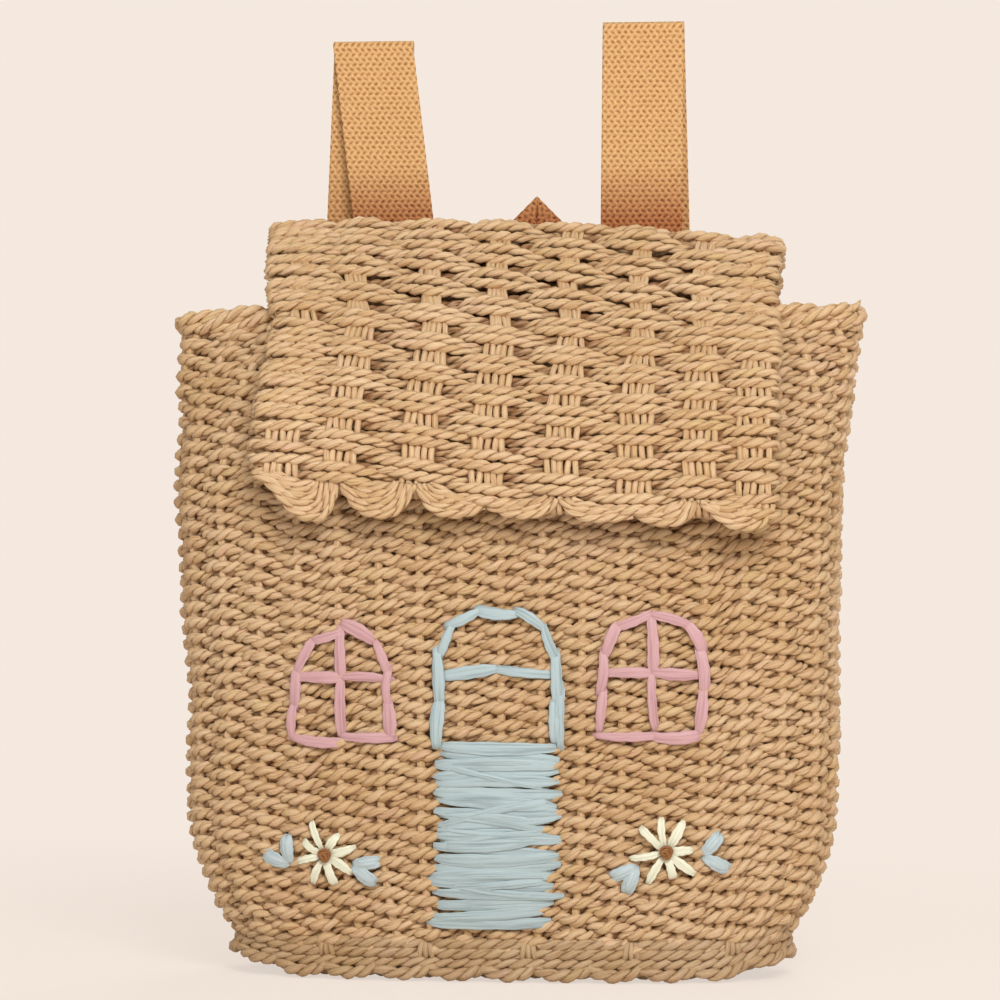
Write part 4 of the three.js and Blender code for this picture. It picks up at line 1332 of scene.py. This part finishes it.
def layRaffia(bm, start, stop, rng, width=1.0, bow=0.0, proud=0.0):
    # A flat folded strand from one hole of the weave to another, given as (x, z) on the front wall.
    sides, steps = stitchLook["sides"], stitchLook["steps"]
    made = bmesh.ops.create_grid(bm, x_segments=sides, y_segments=steps, size=1, calc_uvs=True)["verts"]
    start, stop = np.array(start) * mm, np.array(stop) * mm
    length = np.linalg.norm(stop - start)
    side = np.array([start[1] - stop[1], stop[0] - start[0]]) / length
    flat = np.array([vert.co for vert in made])
    share = (flat[:, 1] + 1) / 2
    turn = math.pi * flat[:, 0]
    hump = np.sin(math.pi * share)
    taper = np.clip(np.sin(math.pi * np.clip(share, 0.001, 0.999)), 0, 1) ** 0.4
    slim = 0.16 + 0.4 * rng.random(2)
    slim = slim[0] + (slim[1] - slim[0]) * share
    wobble = 1 + 0.1 * np.sin(share * (3 + 4 * rng.random()) + 6 * rng.random())
    half = stitchLook["width"] * width / 2 * (slim + (1 - slim) * taper) * wobble
    half = half * (taper > 0.06)
    frayed = 0.12 * mm * np.sin(share * 23 + 6 * rng.random()) * np.sign(np.cos(turn)) * (taper > 0.06)
    across = np.cos(turn) * half + frayed * np.abs(np.cos(turn)) ** 3
    ridges = np.sin(np.cos(turn) * (3 + 4 * rng.random()) + 6 * rng.random() + share * rng.normal(0, 2))
    up = np.sign(np.sin(turn)) * np.abs(np.sin(turn)) ** 0.7 * stitchLook["thickness"] / 2 * taper
    up = up + stitchLook["ridge"] * ridges * np.abs(np.sin(turn)) * taper
    spots = start + np.outer(share, stop - start) + np.outer(across + bow * mm * hump, side)
    lift = (stitchLook["proud"] + proud * mm) * hump ** 0.35 - stitchLook["sunk"] * (1 - hump ** 0.3)
    normal = wallNormal(spots[:, 0], spots[:, 1])
    places = np.stack([spots[:, 0], frontWall(spots[:, 0], spots[:, 1]), spots[:, 1]], 1)
    places = places + normal * (lift + up)[:, None]
    shift = rng.random()
    number = int(rng.integers(0, 60))
    smoothFaces(bm, {vert: (length * part + shift, (angle / math.pi + 1) / 2 * 0.999 + number)
                     for vert, part, angle in zip(made, share, turn)})
    for vert, place in zip(made, places):
        vert.co = place


def raffiaPiece(name, stitches, color, node, seed):
    bm = bmesh.new()
    rng = np.random.default_rng(seed)
    for stitch in stitches:
        layRaffia(bm, *stitch[:2], rng, *stitch[2:])
    bmesh.ops.remove_doubles(bm, verts=bm.verts, dist=1e-6)
    bmesh.ops.recalc_face_normals(bm, faces=bm.faces)
    piece = link(name, meshFrom(bm, name), raffia[color])
    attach(piece, "basket")
    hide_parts(node)


windows = {
    "left": {"x": -56.6, "half": 17.1, "sill": 86, "springing": 110, "top": 125, "cross": (-0.5, 107)},
    "right": {"x": 53, "half": 17.4, "sill": 89, "springing": 116, "top": 131, "cross": (0.5, 109.5)},
}
doorway = {"x": -1.4, "half": 20.8, "sill": 85, "springing": 115, "top": 133, "lintel": 108.5, "foot": 20,
           "strands": 20, "thinStrands": 12, "lean": 3}


def archStops(arch, sideParts, archParts):  # the points where one stitch ends and the next begins
    tall = arch["springing"] - arch["sill"]
    rises = [arch["sill"] + tall * part / sideParts for part in range(sideParts)]
    stops = [(arch["x"] - arch["half"], rise) for rise in rises]
    for part in range(archParts + 1):
        turn = math.pi * (1 - part / archParts)
        stops.append((arch["x"] + arch["half"] * math.cos(turn),
                      arch["springing"] + (arch["top"] - arch["springing"]) * math.sin(turn)))
    return stops + [(arch["x"] + arch["half"], rise) for rise in rises[::-1]]


def chain(stops, rng, jitter=1.7, overlap=1.9, width=1.0):
    stitches = []
    for start, stop in zip(stops[:-1], stops[1:]):
        start, stop = np.array(start), np.array(stop)
        along = (stop - start) / np.linalg.norm(stop - start)
        start = start - along * overlap + rng.normal(0, jitter / 2, 2)
        stop = stop + along * overlap + rng.normal(0, jitter / 2, 2)
        stitches.append((start, stop, width * (0.78 + 0.4 * rng.random()), rng.normal(0, 0.6)))
    return stitches


def windowStitches(side):
    pane = windows[side]
    rng = np.random.default_rng(len(side) * 7)
    crossX, crossZ = pane["x"] + pane["cross"][0], pane["cross"][1]
    left, right = pane["x"] - pane["half"], pane["x"] + pane["half"]
    stitches = chain(archStops(pane, 2, 4), rng)
    stitches += chain([(left, pane["sill"]), (pane["x"] + 1, pane["sill"] - 0.8), (right, pane["sill"])], rng)
    upright = [(crossX, pane["top"] - 1), (crossX, crossZ), (crossX + 0.5, pane["sill"] + 1)]
    level = [(left, crossZ + 0.3), (crossX, crossZ), (right, crossZ - 0.4)]
    for stops in (upright, level):
        stitches += chain(stops, rng, 0.8, 1.8, 0.95)
    return stitches


def doorFrameStitches():
    rng = np.random.default_rng(61)
    left, right = doorway["x"] - doorway["half"], doorway["x"] + doorway["half"]
    stitches = chain(archStops(doorway, 2, 5), rng)
    stitches += chain([(right + 1.4, doorway["springing"] - 10), (right + 1.6, doorway["sill"] - 1)], rng)
    stitches += chain([(left + 1, doorway["lintel"] - 1.5), (doorway["x"], doorway["lintel"] + 0.6),
                       (right - 1, doorway["lintel"] + 1)], rng)
    return stitches


def doorPanelStitches():  # satin stitch: one strand across for each stitch, with thinner loose ones over them
    rng = np.random.default_rng(62)
    left, right = doorway["x"] - doorway["half"] - 1, doorway["x"] + doorway["half"] + 1.5
    pitch = (doorway["sill"] - doorway["foot"]) / doorway["strands"]
    stitches = []
    for strand in range(doorway["strands"]):
        z = doorway["foot"] + (strand + 0.5) * pitch
        lean = doorway["lean"] * (1 - strand / doorway["strands"]) ** 2
        ends = rng.normal(0, 1.1, 4) - (lean, 0, lean, 0)
        slant = 1.1 * math.sin(strand * 1.3)
        start = (left + ends[0], z - slant + 0.4 * ends[1])
        stop = (right + ends[2], z + slant + 0.4 * ends[3])
        stitches.append((start, stop, 0.9 + 0.34 * rng.random(), rng.normal(0, 0.6), 0.4 * (strand % 2)))
    for strand in range(doorway["thinStrands"]):
        z = doorway["foot"] + 5 + rng.random() * (doorway["sill"] - doorway["foot"] - 10)
        slant = rng.normal(0, 2.2)
        stitches.append(((left + 1 + 2 * rng.random(), z - slant), (right - 2 - 2 * rng.random(), z + slant),
                         0.45 + 0.3 * rng.random(), rng.normal(0, 0.8), 0.75))
    return stitches


flowers = {
    "left": {"x": -63, "z": 44.4, "outer": ((-75.8, 40.5), (97, 158)), "inner": ((-53.5, 41.2), (8, -36))},
    "right": {"x": 58.1, "z": 46.6, "outer": ((70.5, 45.2), (50, -25)), "inner": ((48, 42), (205, 248))},
    "petals": 8,
    "petalLength": 10.2,
    "petalWidth": 0.74,
    "heart": 1.2,
    "heartSteps": 60,
    "heartStrand": 0.55 * mm,
    "leafLength": 11,
    "leafWidth": 1.1,
}


def polar(x, z, degrees, radius):
    return x + radius * math.cos(math.radians(degrees)), z + radius * math.sin(math.radians(degrees))


def petalStitches(side):
    flower = flowers[side]
    rng = np.random.default_rng(70 + len(side))
    stitches = []
    for petal in range(flowers["petals"]):
        turn = 360 / flowers["petals"] * petal + 12 + rng.normal(0, 7)
        reach = flowers["petalLength"] * (0.8 + 0.4 * rng.random())
        start = polar(flower["x"], flower["z"], turn, flowers["heart"])
        stop = polar(flower["x"], flower["z"], turn + rng.normal(0, 3), flowers["heart"] + reach)
        width = flowers["petalWidth"] * (0.85 + 0.3 * rng.random())
        stitches.append((start, stop, width, rng.normal(0, 0.4), 0.3 * (petal % 2)))
    return stitches


def leafStitches(side, group):
    (x, z), turns = flowers[side][group]
    rng = np.random.default_rng(80 + len(side) + len(group))
    stitches = []
    for turn in turns:
        reach = flowers["leafLength"] * (0.9 + 0.2 * rng.random())
        for fold in (-1, 1):
            start, stop = polar(x, z, turn + 4 * fold, 0), polar(x, z, turn + 5 * fold, reach)
            stitches.append((start, stop, flowers["leafWidth"] * 0.62, 0.6 * fold, 0))
        stop = polar(x, z, turn, reach - 0.5)
        stitches.append((polar(x, z, turn, 1), stop, flowers["leafWidth"] * 0.6, 0, 0.35))
    return stitches


def flowerHeart(side):  # a knot of brown raffia wound in the middle of the petals
    flower = flowers[side]
    turn = np.linspace(0, 7 * math.pi, flowers["heartSteps"])
    radius = np.linspace(2.1, 0.4, len(turn)) * (1 + 0.25 * np.sin(turn * 1.3) + 0.1 * np.sin(turn * 2.9))
    x = (flower["x"] + radius * np.cos(turn)) * mm
    z = (flower["z"] + radius * np.sin(turn)) * mm
    y = frontWall(x, z) - (np.linspace(1.5, 2.3, len(turn)) + 0.25 * np.sin(turn * 1.7)) * mm
    strand = (np.stack([x, y, z], 1), flowers["heartStrand"], False)
    piece = strandPiece(side + "_flower_heart", [strand], raffia["brown"], seed=90)
    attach(piece, "basket")
    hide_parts(side + "_flower_center")


def embroider():
    raffiaPiece("door_frame_stitches", doorFrameStitches(), "blue", "door_frame", 101)
    raffiaPiece("door_satin_stitches", doorPanelStitches(), "blue", "door_panel", 102)
    for side in ("left", "right"):
        raffiaPiece(side + "_window_stitches", windowStitches(side), "pink", side + "_window", 103)
        raffiaPiece(side + "_petal_stitches", petalStitches(side), "cream", side + "_flower_petals", 104)
        for group in ("outer", "inner"):
            node = side + "_flower_" + group + "_leaves"
            raffiaPiece(side + "_" + group + "_leaf_stitches", leafStitches(side, group), "leaf", node, 105)
        flowerHeart(side)


embroider()
print("embroidery stitched")

sizes = [[list(corner) for corner in box] for box in (cadBox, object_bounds())]
